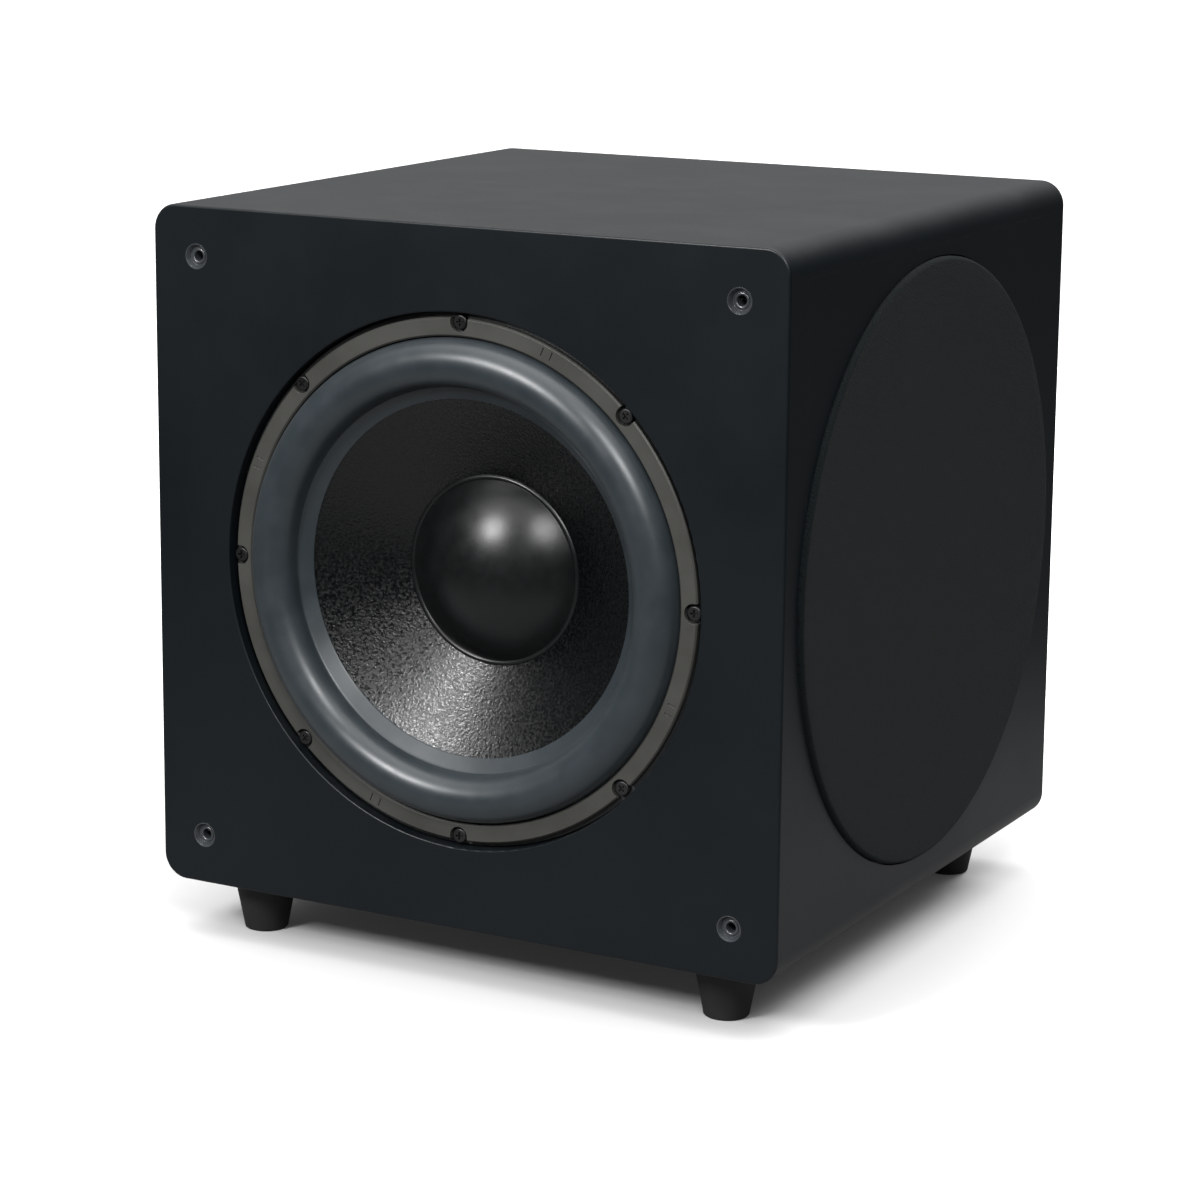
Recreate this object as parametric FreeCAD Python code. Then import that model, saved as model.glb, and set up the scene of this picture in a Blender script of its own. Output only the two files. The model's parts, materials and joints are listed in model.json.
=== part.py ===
import FreeCAD, Part
import math
import os
from FreeCAD import Placement, Rotation, Vector

# Powered subwoofer: a front woofer, a passive radiator behind a round cloth grille in
# each side, and a plate amplifier in the back.  Millimetres, +Z up, front towards -Y.
# The origin lies on the floor, under the middle of the whole envelope.
#
# Each driver, grille and the amplifier are drawn in the frame of the face they sit in:
# x to the right and y up as one looks at the face, z out of it, depth counted inwards.

# ---------------------------------------------------------------- cabinet
body_width = 406.0
body_height = 404.0
body_depth = 388.0
panel_thickness = 18.0
side_thickness = 25.0
baffle_thickness = 25.0
long_edge_radius = 15.0
front_edge_radius = 1.6

# ---------------------------------------------------------------- feet
foot_height = 34.0
foot_top_radius = 19.4
foot_bottom_radius = 12.8
foot_side_inset = 48.2
foot_end_inset = 37.0
foot_edge_radius = 1.5
foot_bore_radius = 6.0
foot_bore_depth = 22.0
foot_screw_radius = 2.4
foot_screw_head_radius = 4.9
foot_screw_head_height = 3.2
foot_screw_bite = 12.0

# ---------------------------------------------------------------- fits and screws
screw_hole_clearance = 0.3
pilot_clearance = 0.1
pilot_end_room = 1.0
glue_gap = 0.3
seat_gap = 0.1
gasket_margin = 0.4

# ---------------------------------------------------------------- front grille sockets
front_socket_inset = 29.4
front_socket_radius = 7.4
front_socket_mouth_radius = 6.9
front_socket_land_radius = 5.5
front_socket_land_depth = 3.0
front_socket_bead_radius = 4.7
front_socket_bead_height = 0.7
socket_hole_radius = 2.85
front_socket_hole_depth = 14.0
socket_floor = 2.0

# ---------------------------------------------------------------- woofer, from the face in
woofer_flange_radius = 152.4
recess_gap = 1.0
recess_depth = 13.0
recess_edge_radius = 0.9
gasket_thickness = 1.5
woofer_flange_thickness = 4.0
basket_barrel_inset = 14.4
basket_barrel_length = 14.5
basket_wall = 4.0
cutout_gap = 1.2
basket_spokes = 6
basket_window_angle = 36.0
basket_window_margin = 5.0
basket_vent_angle = 30.0
basket_vent_height = 8.0
spider_shelf_radius = 91.5
basket_cup_radius = 84.0
spider_room = 21.5

surround_skin = 1.2
surround_inset = 9.8
roll_inset = 4.0
roll_width = 27.6
landing_width = 8.0
landing_skin = 1.0

cone_slope = 0.6
cone_rim_drop = 1.5
cone_skin = 1.2
dust_cap_radius = 54.0
dust_cap_height = 22.0
dust_cap_skin = 1.0
dust_cap_bead = 1.5

trim_inset = 2.4
trim_width = 10.5
trim_top_depth = 3.0
trim_bevel = 0.9
trim_notch_radius = 5.6
trim_mark_inset = 4.8
trim_mark_length = 5.0
trim_mark_width = 0.9
trim_mark_depth = 0.7
trim_mark_spacing = 6.0
trim_mark_turn = 67.5
trim_mark_count = 4

woofer_screw_inset = 4.9
woofer_screw_count = 8
woofer_screw_radius = 2.2
woofer_screw_head_radius = 4.3
woofer_screw_head_height = 3.6
woofer_screw_bite = 9.0
cross_slot_width = 1.1
cross_slot_length = 4.6
cross_slot_depth = 1.6

# ---------------------------------------------------------------- woofer motor
coil_radius = 31.8
former_skin = 0.5
former_lap = 2.0
winding_skin = 1.0
winding_height = 24.0
coil_running_gap = 1.1
former_tail = 7.0
spider_drop = 8.8
spider_skin = 0.8
spider_waves = 5
spider_wave_height = 1.6
spider_wave_steps = 6
spider_rim_inset = 3.0
top_plate_thickness = 10.0
top_plate_radius = 72.0
magnet_radius = 80.0
magnet_gap_room = 7.6
magnet_thickness = 18.0
magnet_count = 2
yoke_thickness = 12.0
yoke_radius = 72.0
pole_vent_radius = 11.0
boot_skin = 3.0
boot_gap = 0.4
boot_lip = 4.0
boot_hole_radius = 30.0

terminal_width = 58.0
terminal_height = 10.0
terminal_reach = 12.0
terminal_shelf_gap = 2.0
terminal_tab_rise = 9.0
terminal_tab_pitch = 8.4
terminal_tab_width = 6.3
terminal_tab_length = 8.0
terminal_tab_thickness = 0.8
terminal_plug_length = 14.0
terminal_plug_width = 16.0
terminal_plug_height = 10.0
lead_diameter = 1.8
lead_spread = 22.0
lead_route = ((0, 0, 0), (0, 7, 0), (2, 13, -10), (4, 8, -24), (4, -8, -32), (3, -30, -39.5))

# ---------------------------------------------------------------- side grilles
grille_margin = 24.4
grille_proud = 3.0
grille_seat_depth = 5.0
grille_gap = 1.0
grille_seat_gap = 0.4
cloth_skin = 0.8
cloth_edge_radius = 2.4
grille_ring_width = 15.0
peg_count = 6
peg_turn = 30.0
peg_inset = 8.4
peg_radius = 2.5
peg_length = 8.5
side_socket_radius = 4.6
side_socket_hole_depth = 10.0

# ---------------------------------------------------------------- passive radiators
radiator_flange_radius = 152.0
radiator_seat_depth = 16.0
radiator_flange_thickness = 2.5
radiator_barrel_inset = 11.0
radiator_barrel_length = 14.0
radiator_wall = 3.5
radiator_surround_inset = 10.0
radiator_roll_inset = 6.0
radiator_roll_width = 24.0
radiator_landing = 8.0
radiator_skin = 1.2
radiator_cone_slope = 0.33
radiator_cone_skin = 2.0
radiator_cone_inset = 0.6
radiator_hub_radius = 36.0
radiator_weight_radius = 32.0
radiator_weight_thickness = 13.0
radiator_bolt_radius = 4.0
radiator_bolt_head_radius = 7.0
radiator_bolt_head_height = 4.0
radiator_travel = 12.0
radiator_screw_inset = 5.0
radiator_screw_count = 8
radiator_screw_radius = 1.9
radiator_screw_head_radius = 3.8
radiator_screw_head_height = 2.4
radiator_screw_bite = 6.5

# ---------------------------------------------------------------- brace
brace_thickness = 18.0
brace_room = 14.0
brace_rail = 38.0
brace_window_corner = 24.0
brace_motor_room = 57.54

# ---------------------------------------------------------------- amplifier plate
amp_plate_width = 240.0
amp_plate_height = 290.0
amp_plate_thickness = 3.0
amp_plate_corner = 6.0
amp_plate_drop = 15.0
amp_gasket_thickness = 1.5
amp_lip = 20.0
amp_screw_inset = 8.0
amp_screw_radius = 1.8
amp_screw_head_radius = 3.6
amp_screw_head_height = 2.4
amp_screw_bite = 11.0

sink_width = 96.0
sink_height = 190.0
sink_base = 3.0
sink_fins = 9
fin_thickness = 2.2
fin_height = 12.5
sink_side_inset = 16.0
sink_top_inset = 38.0

knob_radius = 11.0
knob_tip_radius = 10.0
knob_length = 14.2
knob_lift = 0.8
knob_flutes = 14
knob_flute_radius = 1.1
knob_flute_inset = 0.2
knob_flute_start = 2.0
knob_cavity_radius = 8.0
knob_cavity_depth = 3.6
knob_mark_width = 1.2
knob_mark_depth = 0.5
knob_mark_start = 2.0
knob_edge_radius = 0.8
shaft_radius = 3.0
shaft_clearance = 0.06
shaft_grip = 2.0
shaft_end_room = 1.0
bushing_radius = 4.4
bushing_proud = 2.6
nut_across = 12.0
nut_thickness = 2.0
pot_size = 17.0
pot_depth = 9.0
volume_x = 36.0
crossover_x = 84.0
knob_y = 92.0

switch_y = 48.0
phase_x = 36.0
mode_x = 84.0
switch_travel = 4.0
lever_width = 3.6
lever_height = 4.0
lever_proud = 4.2
lever_tail = 3.0
lever_side_gap = 0.35
lever_rib_pitch = 1.0
lever_rib_width = 0.4
lever_rib_depth = 0.5
switch_body_width = 17.0
switch_body_height = 9.0
switch_body_depth = 8.0
switch_wall = 1.2

jack_y = 5.0
jack_xs = (36.0, 60.0, 84.0)
jack_flange_radius = 5.6
jack_flange_thickness = 1.4
jack_barrel_radius = 4.1
jack_barrel_length = 9.5
jack_hole_radius = 1.65
jack_hole_depth = 9.0
jack_body_size = 11.0
jack_body_depth = 13.0

light_x = 60.0
light_y = 70.0
light_radius = 2.2
light_proud = 1.2
light_tail = 5.0
light_edge_radius = 0.8

inlet_x = 42.0
inlet_y = -75.0
inlet_flange_width = 50.0
inlet_flange_height = 42.0
inlet_flange_thickness = 2.6
inlet_corner = 2.5
inlet_body_width = 32.0
inlet_body_height = 36.0
inlet_body_depth = 24.0
inlet_mouth_width = 24.6
inlet_mouth_height = 16.8
inlet_mouth_depth = 17.0
inlet_mouth_rise = 7.2
inlet_pin_width = 2.0
inlet_pin_height = 4.0
inlet_pin_setback = 4.6
inlet_pin_pitch = 7.0
inlet_pin_offset = 2.0
drawer_width = 21.0
drawer_height = 7.0
drawer_depth = 18.0
drawer_gap = 0.25
drawer_sink = 11.4
drawer_lip = 1.0
drawer_lip_lap = 0.7
drawer_wall = 2.2
drawer_front = 3.0

rocker_x = 84.0
rocker_y = -75.0
rocker_frame_width = 15.0
rocker_frame_height = 21.0
rocker_frame_thickness = 2.0
rocker_body_depth = 15.0
rocker_wall = 2.0
rocker_body_lap = 1.0
rocker_well_room = 0.2
rocker_corner = 1.2
rocker_side_gap = 0.3
rocker_radius = 8.2
rocker_tilt = 9.0
rocker_crown = 5.2
rocker_dip = 3.6
rocker_pivot_sink = 3.0
rocker_tail = 5.5

# ---------------------------------------------------------------- inside the amplifier
board_width = 150.0
board_height = 120.0
board_thickness = 1.6
board_y = 40.0
board_standoff = 24.0
standoff_radius = 3.5
standoff_inset = 7.0
capacitor_radius = 12.5
capacitor_length = 34.0
capacitor_xs = (-62.0, -32.0, -2.0, 50.0)
capacitor_y = 72.0
plug_x = 20.0
plug_y = 26.0
plug_width = 14.0
plug_height = 10.0
plug_length = 10.0
chip_bar_width = 90.0
chip_bar_height = 10.0
chip_bar_depth = 22.0
chip_bar_x = -30.0
chip_bar_y = 5.0
transformer_radius = 42.0
transformer_hole_radius = 13.0
transformer_length = 38.0
transformer_corner = 8.0
transformer_pad = 1.5
transformer_x = -52.0
transformer_y = -92.0
transformer_dish_radius = 24.0
transformer_dish_thickness = 2.5
transformer_bolt_radius = 4.0

cable_diameter = 6.0

# ---------------------------------------------------------------- derived places
recess_radius = woofer_flange_radius + recess_gap
basket_barrel_radius = woofer_flange_radius - basket_barrel_inset
cutout_radius = basket_barrel_radius + cutout_gap
trim_radius = woofer_flange_radius - trim_inset
trim_inner_radius = trim_radius - trim_width
trim_mark_radius = trim_radius - trim_mark_inset
woofer_screw_circle = woofer_flange_radius - woofer_screw_inset
surround_flange_radius = woofer_flange_radius - surround_inset
roll_outer_base = surround_flange_radius - roll_inset
roll_inner_base = roll_outer_base - roll_width
flange_top = recess_depth - gasket_thickness - woofer_flange_thickness
surround_top = flange_top - surround_skin
roll_radius = (roll_outer_base - roll_inner_base) / 2
roll_middle = (roll_outer_base + roll_inner_base) / 2
cone_rim_depth = flange_top + cone_rim_drop
former_outer = coil_radius + former_skin
winding_outer = former_outer + winding_skin
pole_radius = coil_radius - coil_running_gap
gap_radius = winding_outer + coil_running_gap
magnet_hole_radius = gap_radius + magnet_gap_room
neck_radius = former_outer + seat_gap
neck_depth = cone_rim_depth + cone_slope * (roll_inner_base - neck_radius)
shelf_depth = neck_depth + spider_drop
basket_floor_depth = shelf_depth + spider_room
top_plate_depth = basket_floor_depth + basket_wall
magnet_depth = top_plate_depth + top_plate_thickness
yoke_depth = magnet_depth + magnet_count * magnet_thickness
motor_end = yoke_depth + yoke_thickness
brace_setback = motor_end + brace_motor_room
coil_middle = top_plate_depth + top_plate_thickness / 2

grille_radius = radiator_flange_radius + grille_margin
radiator_barrel_radius = radiator_flange_radius - radiator_barrel_inset
radiator_surround_radius = radiator_flange_radius - radiator_surround_inset
radiator_roll_outer = radiator_surround_radius - radiator_roll_inset
radiator_roll_inner = radiator_roll_outer - radiator_roll_width
radiator_screw_circle = radiator_flange_radius - radiator_screw_inset
radiator_top = radiator_seat_depth - gasket_thickness - radiator_flange_thickness
radiator_hub_depth = (
    radiator_top + radiator_cone_slope * (radiator_roll_inner - radiator_hub_radius)
)
radiator_back = radiator_hub_depth + radiator_cone_skin
radiator_reach = radiator_back + radiator_weight_thickness + radiator_bolt_head_height
peg_circle = grille_radius - peg_inset

plate_inner_z = amp_gasket_thickness
plate_outer_z = amp_gasket_thickness + amp_plate_thickness
sink_x = sink_side_inset + (sink_width - amp_plate_width) / 2
sink_y = (amp_plate_height - sink_height) / 2 - sink_top_inset
amp_cutout_width = amp_plate_width - 2 * amp_lip
amp_cutout_height = amp_plate_height - 2 * amp_lip

front_proud = roll_radius - surround_top
rear_proud = plate_outer_z + sink_base + fin_height
envelope_depth = front_proud + body_depth + rear_proud
front_y = front_proud - envelope_depth / 2
rear_y = front_y + body_depth
middle_y = (front_y + rear_y) / 2
bottom_z = foot_height
top_z = foot_height + body_height
centre_z = (bottom_z + top_z) / 2
inner_half_width = body_width / 2 - side_thickness

FACES = {
    "front": (0, Vector(0, front_y, centre_z)),
    "right": (90, Vector(body_width / 2, middle_y, centre_z)),
    "rear": (180, Vector(0, rear_y, centre_z)),
    "left": (-90, Vector(-body_width / 2, middle_y, centre_z)),
}
AXIS = Vector(0, 0, 1)
OVERSHOOT = 1.0


# ---------------------------------------------------------------- drawing helpers
def on_face(shape, face):
    """Carry a shape from a face's own frame to its place on the cabinet."""
    angle, origin = FACES[face]
    turn = Rotation(AXIS, angle).multiply(Rotation(Vector(1, 0, 0), 90))
    placed = shape.copy()
    placed.Placement = Placement(origin, turn).multiply(shape.Placement)
    return placed


def block(x_span, y_span, z_span):
    """Box between two x, two y and two z values."""
    size = [abs(high - low) for low, high in (x_span, y_span, z_span)]
    corner = Vector(min(x_span), min(y_span), min(z_span))
    return Part.makeBox(size[0], size[1], size[2], corner)


def centred_block(x, y, width, height, z_span):
    """Box of a width and height about a point of a face."""
    return block((x - width / 2, x + width / 2), (y - height / 2, y + height / 2), z_span)


def drum(radius, z_span, x=0.0, y=0.0):
    """Cylinder along z between two z values."""
    low = min(z_span)
    return Part.makeCylinder(radius, abs(z_span[1] - z_span[0]), Vector(x, y, low), AXIS)


def slab(x, y, width, height, corner, z_span):
    """Plate with rounded corners about a point of a face."""
    plate = centred_block(x, y, width, height, z_span)
    uprights = [edge for edge in plate.Edges if is_upright(edge)]
    return plate.makeFillet(corner, uprights)


def is_upright(edge):
    """True for a straight edge along z."""
    span = edge.BoundBox
    return span.ZLength > 0.01 and span.XLength < 0.01 and span.YLength < 0.01


def profile_point(point):
    """A (radius, depth) pair as a point of the turning plane."""
    return Vector(point[0], 0, -point[1])


def line(start, end):
    """Straight edge between two (radius, depth) pairs."""
    return Part.LineSegment(profile_point(start), profile_point(end)).toShape()


def arc(start, middle, end):
    """Arc edge through three (radius, depth) pairs."""
    points = [profile_point(point) for point in (start, middle, end)]
    return Part.Arc(*points).toShape()


def turned_edges(edges, angle=360.0):
    """Solid turned about the face's normal from a closed row of edges."""
    face = Part.Face(Part.Wire(edges))
    return face.revolve(Vector(0, 0, 0), AXIS, angle)


def turned(points, angle=360.0):
    """Solid turned about the face's normal from (radius, depth) corners."""
    corners = list(points)
    edges = [line(a, b) for a, b in zip(corners, corners[1:] + corners[:1])]
    return turned_edges(edges, angle)


def ring(outer, inner, top_depth, bottom_depth):
    """Flat ring between two depths."""
    return turned([(inner, top_depth), (outer, top_depth), (outer, bottom_depth), (inner, bottom_depth)])


def around(shape, count, start=0.0):
    """Copies of a shape spaced evenly about the face's normal."""
    copies = []
    for index in range(count):
        copy = shape.copy()
        copy.rotate(Vector(0, 0, 0), AXIS, start + index * 360.0 / count)
        copies.append(copy)
    return copies


def cut_all(solid, tools):
    """Solid with every tool taken away."""
    return solid.cut(Part.makeCompound(tools)) if tools else solid


def joined(solids):
    """One solid from solids that overlap or share faces."""
    whole = solids[0].fuse(solids[1:])
    return whole.removeSplitter()


def cross_slot(top_z, x=0.0, y=0.0):
    """Cutter for the cross recess of a screw's head."""
    span = (top_z - cross_slot_depth, top_z + OVERSHOOT)
    first = centred_block(x, y, cross_slot_length, cross_slot_width, span)
    second = centred_block(x, y, cross_slot_width, cross_slot_length, span)
    return first.fuse(second)


def screw(radius, head_radius, head_height, seat_z, length, x=0.0, y=0.0):
    """Pan-head screw, its head standing on seat_z and its shank going inwards."""
    head = drum(head_radius, (seat_z, seat_z + head_height), x, y)
    crown = [edge for edge in head.Edges if edge.BoundBox.ZMin > seat_z + head_height - 0.01]
    head = head.makeFillet(0.3 * head_height, crown)
    shank = drum(radius, (seat_z - length, seat_z), x, y)
    whole = head.fuse(shank)
    return whole.cut(cross_slot(seat_z + head_height, x, y))


def write(node, shapes):
    """Write one node's solids to its STEP file."""
    solids = []
    for shape in shapes:
        solids.extend(shape.Solids)
    whole = solids[0] if len(solids) == 1 else Part.makeCompound(solids)
    whole.exportStep("parts/" + node + ".step")


# ---------------------------------------------------------------- cabinet panels
def rounded_section(depth_span, radius):
    """Cabinet-wide block with its four front-to-back edges rounded."""
    half = body_width / 2
    whole = block((-half, half), depth_span, (bottom_z, top_z))
    long_edges = [edge for edge in whole.Edges if edge.BoundBox.YLength > 0.9 * whole.BoundBox.YLength]
    return whole.makeFillet(radius, long_edges)


def shell_slice(z_span):
    """Full-width panel of the wrap, from the back of the baffle to the rear."""
    section = rounded_section((front_y + baffle_thickness, rear_y), long_edge_radius)
    half = body_width / 2
    return section.common(block((-half, half), (front_y, rear_y), z_span))


def foot_places():
    """Name and floor point of each foot."""
    places = {}
    for end, y in (("front", front_y + foot_end_inset), ("rear", rear_y - foot_end_inset)):
        for side, sign in (("left", -1), ("right", 1)):
            x = sign * (body_width / 2 - foot_side_inset)
            places["foot_" + end + "_" + side] = Vector(x, y, 0)
    return places


def top_panel():
    """Upper panel of the wrap."""
    return shell_slice((top_z - panel_thickness, top_z))


def bottom_panel():
    """Lower panel of the wrap, with pilot holes for the feet."""
    panel = shell_slice((bottom_z, bottom_z + panel_thickness))
    pilots = []
    reach = foot_screw_bite + pilot_end_room
    for place in foot_places().values():
        span = (bottom_z, bottom_z + reach)
        pilots.append(drum(foot_screw_radius + pilot_clearance, span, place.x, place.y))
    return cut_all(panel, pilots)


def grille_seat():
    """Cutter for the shallow round seat that a side grille is pushed into."""
    return drum(grille_radius + grille_gap, (-grille_seat_depth, OVERSHOOT))


def side_panel(face):
    """Side wall with the grille's seat, the radiator's seat and its through hole."""
    height = body_height - 2 * panel_thickness
    front_end = front_y + baffle_thickness - middle_y
    rear_end = rear_y - middle_y
    spans = {"right": (front_end, rear_end), "left": (-rear_end, -front_end)}
    wall = block(spans[face], (-height / 2, height / 2), (-side_thickness, 0))
    cuts = [
        grille_seat(),
        drum(radiator_flange_radius + recess_gap, (-radiator_seat_depth, OVERSHOOT)),
        drum(radiator_barrel_radius + cutout_gap, (-side_thickness - OVERSHOOT, OVERSHOOT)),
    ]
    socket_end = -grille_seat_depth - side_socket_hole_depth - socket_floor
    socket_hole = drum(side_socket_radius, (socket_end, 0), peg_circle, 0)
    cuts += around(socket_hole, peg_count, peg_turn)
    pilot_end = -radiator_seat_depth - radiator_screw_bite - pilot_end_room
    pilot = drum(radiator_screw_radius + pilot_clearance, (pilot_end, 0), radiator_screw_circle, 0)
    cuts += around(pilot, radiator_screw_count)
    return on_face(cut_all(wall, cuts), face)


def front_baffle():
    """Front panel with the woofer's recess and the four grille socket holes."""
    panel = rounded_section((front_y, front_y + baffle_thickness), long_edge_radius)
    rim = [edge for edge in panel.Edges if edge.BoundBox.YMax < front_y + 0.01]
    panel = panel.makeFillet(front_edge_radius, rim)
    cuts = [
        drum(recess_radius, (-recess_depth, OVERSHOOT)),
        drum(cutout_radius, (-baffle_thickness - OVERSHOOT, OVERSHOOT)),
    ]
    pilot_end = -recess_depth - woofer_screw_bite - pilot_end_room
    pilot = drum(woofer_screw_radius + pilot_clearance, (pilot_end, 0), woofer_screw_circle, 0)
    cuts += around(pilot, woofer_screw_count)
    for x, y in front_socket_places():
        cuts.append(drum(front_socket_radius, (-front_socket_hole_depth - socket_floor, OVERSHOOT), x, y))
    placed = [on_face(cut, "front") for cut in cuts]
    placed += [on_face(grille_seat(), face) for face in ("left", "right")]
    panel = cut_all(panel, placed)
    mouth = [edge for edge in panel.Edges if is_recess_mouth(edge)]
    return panel.makeFillet(recess_edge_radius, mouth)


def is_recess_mouth(edge):
    """True for the circle where the woofer's recess meets the front face."""
    span = edge.BoundBox
    on_front = span.YMax < front_y + 0.01
    return on_front and abs(span.ZLength - 2 * recess_radius) < recess_gap


def rear_panel():
    """Back panel, set in flush, with the amplifier's opening and its pilot holes."""
    height = body_height - 2 * panel_thickness
    panel = centred_block(0, 0, 2 * inner_half_width, height, (-panel_thickness, 0))
    through = (-panel_thickness - OVERSHOOT, OVERSHOOT)
    cuts = [centred_block(0, -amp_plate_drop, amp_cutout_width, amp_cutout_height, through)]
    for x, y in amp_screw_places():
        span = (-amp_screw_bite - pilot_end_room, OVERSHOOT)
        cuts.append(drum(amp_screw_radius + pilot_clearance, span, x, y))
    return on_face(cut_all(panel, cuts), "rear")


def window_brace():
    """Upright frame that ties the top panel to the bottom one between the radiators."""
    half = body_width / 2 - radiator_reach - radiator_travel - brace_room
    low = bottom_z + panel_thickness
    high = top_z - panel_thickness
    y_span = (front_y + brace_setback, front_y + brace_setback + brace_thickness)
    frame = block((-half, half), y_span, (low, high))
    window = block(
        (-half + brace_rail, half - brace_rail),
        (y_span[0] - OVERSHOOT, y_span[1] + OVERSHOOT),
        (low + brace_rail, high - brace_rail),
    )
    corners = [edge for edge in window.Edges if edge.BoundBox.YLength > brace_thickness]
    return frame.cut(window.makeFillet(brace_window_corner, corners))


def foot(place):
    """Tapered foot with a counterbore for its screw."""
    body = Part.makeCone(foot_bottom_radius, foot_top_radius, foot_height, place, AXIS)
    sole = [edge for edge in body.Edges if edge.BoundBox.ZMax < 0.01]
    body = body.makeFillet(foot_edge_radius, sole)
    bore = drum(foot_bore_radius, (-OVERSHOOT, foot_bore_depth), place.x, place.y)
    hole = drum(foot_screw_radius + screw_hole_clearance, (0, foot_height + OVERSHOOT), place.x, place.y)
    return body.cut(bore).cut(hole)


def foot_screws():
    """Screws that go up through the feet into the bottom panel."""
    screws = []
    for place in foot_places().values():
        length = foot_height - foot_bore_depth + foot_screw_bite
        body = screw(
            foot_screw_radius, foot_screw_head_radius, foot_screw_head_height, 0, length
        )
        body.rotate(Vector(0, 0, 0), Vector(1, 0, 0), 180)
        body.translate(Vector(place.x, place.y, foot_bore_depth))
        screws.append(body)
    return screws


# ---------------------------------------------------------------- grille sockets
def front_socket_places():
    """Centres of the four front sockets in the front face's frame."""
    x = body_width / 2 - front_socket_inset
    y = body_height / 2 - front_socket_inset
    return [(-x, y), (x, y), (-x, -y), (x, -y)]


def front_socket():
    """Flush cup with a flared mouth and a raised bead round its peg hole."""
    end = front_socket_hole_depth + socket_floor
    land = front_socket_land_depth
    bead = land - front_socket_bead_height
    edges = [
        line((0, front_socket_hole_depth), (socket_hole_radius, front_socket_hole_depth)),
        line((socket_hole_radius, front_socket_hole_depth), (socket_hole_radius, land)),
        arc(
            (socket_hole_radius, land),
            ((socket_hole_radius + front_socket_bead_radius) / 2, bead),
            (front_socket_bead_radius, land),
        ),
        line((front_socket_bead_radius, land), (front_socket_land_radius, land)),
        line((front_socket_land_radius, land), (front_socket_mouth_radius, 0)),
        line((front_socket_mouth_radius, 0), (front_socket_radius, 0)),
        line((front_socket_radius, 0), (front_socket_radius, end)),
        line((front_socket_radius, end), (0, end)),
        line((0, end), (0, front_socket_hole_depth)),
    ]
    return turned_edges(edges)


def grille_sockets():
    """Cups for the front grille's pegs and for both side grilles' pegs."""
    sockets = []
    for x, y in front_socket_places():
        cup = front_socket()
        cup.translate(Vector(x, y, 0))
        sockets.append(on_face(cup, "front"))
    top = -grille_seat_depth
    end = top - side_socket_hole_depth - socket_floor
    side_cup = drum(side_socket_radius, (end, top), peg_circle, 0)
    side_cup = side_cup.cut(drum(socket_hole_radius, (end + socket_floor, top), peg_circle, 0))
    for face in ("left", "right"):
        sockets += [on_face(cup, face) for cup in around(side_cup, peg_count, peg_turn)]
    return sockets


# ---------------------------------------------------------------- woofer, fixed pieces
def woofer_basket():
    """Cast basket: flange, barrel, spokes and the cup that holds the motor."""
    wall = basket_wall
    barrel_end = recess_depth - gasket_thickness + basket_barrel_length
    slant = wall * math.sqrt(2) - wall
    shell = turned([
        (basket_barrel_radius - wall, flange_top),
        (woofer_flange_radius, flange_top),
        (woofer_flange_radius, flange_top + woofer_flange_thickness),
        (basket_barrel_radius, flange_top + woofer_flange_thickness),
        (basket_barrel_radius, barrel_end),
        (spider_shelf_radius, shelf_depth + wall),
        (basket_cup_radius, shelf_depth + wall),
        (basket_cup_radius, basket_floor_depth + wall),
        (magnet_hole_radius, basket_floor_depth + wall),
        (magnet_hole_radius, basket_floor_depth),
        (basket_cup_radius - wall, basket_floor_depth),
        (basket_cup_radius - wall, shelf_depth),
        (spider_shelf_radius - slant, shelf_depth),
        (basket_barrel_radius - wall, barrel_end - slant),
    ])
    window_top = barrel_end + basket_window_margin
    window_end = shelf_depth - basket_window_margin
    inner = basket_cup_radius - 2 * wall
    outer = basket_barrel_radius + wall
    corners = [(inner, window_top), (outer, window_top), (outer, window_end), (inner, window_end)]
    window = turned(corners, basket_window_angle)
    vent_top = shelf_depth + wall + basket_window_margin
    vent_end = vent_top + basket_vent_height
    corners = [(inner, vent_top), (outer, vent_top), (outer, vent_end), (inner, vent_end)]
    vent = turned(corners, basket_vent_angle)
    cuts = around(window, basket_spokes, -basket_window_angle / 2)
    cuts += around(vent, basket_spokes, -basket_vent_angle / 2)
    span = (-recess_depth, 0)
    hole = drum(woofer_screw_radius + screw_hole_clearance, span, woofer_screw_circle, 0)
    cuts += around(hole, woofer_screw_count)
    return on_face(cut_all(shell, cuts), "front")


def woofer_gasket():
    """Foam ring under the basket's flange."""
    outer = woofer_flange_radius - gasket_margin
    inner = cutout_radius + gasket_margin
    band = ring(outer, inner, recess_depth - gasket_thickness, recess_depth)
    hole = drum(woofer_screw_radius + screw_hole_clearance, (-recess_depth, 0), woofer_screw_circle, 0)
    return on_face(cut_all(band, around(hole, woofer_screw_count)), "front")


def woofer_trim_ring():
    """Bevelled ring over the surround's edge, notched round each screw."""
    step_radius = surround_flange_radius + glue_gap
    step_depth = surround_top - seat_gap
    foot_depth = flange_top - seat_gap
    body = turned([
        (trim_inner_radius, trim_top_depth + trim_bevel),
        (trim_inner_radius + trim_bevel, trim_top_depth),
        (trim_radius - trim_bevel, trim_top_depth),
        (trim_radius, trim_top_depth + trim_bevel),
        (trim_radius, foot_depth),
        (step_radius, foot_depth),
        (step_radius, step_depth),
        (trim_inner_radius, step_depth),
    ])
    span = (-recess_depth, 0)
    notch = drum(trim_notch_radius, span, woofer_screw_circle, 0).fuse(
        block((woofer_screw_circle, recess_radius), (-trim_notch_radius, trim_notch_radius), span)
    )
    cuts = around(notch, woofer_screw_count)
    for side in (-1, 1):
        mark = centred_block(
            trim_mark_radius, side * trim_mark_spacing / 2, trim_mark_length, trim_mark_width,
            (-trim_top_depth - trim_mark_depth, 0),
        )
        cuts += around(mark, trim_mark_count, trim_mark_turn)
    return on_face(cut_all(body, cuts), "front")


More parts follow.
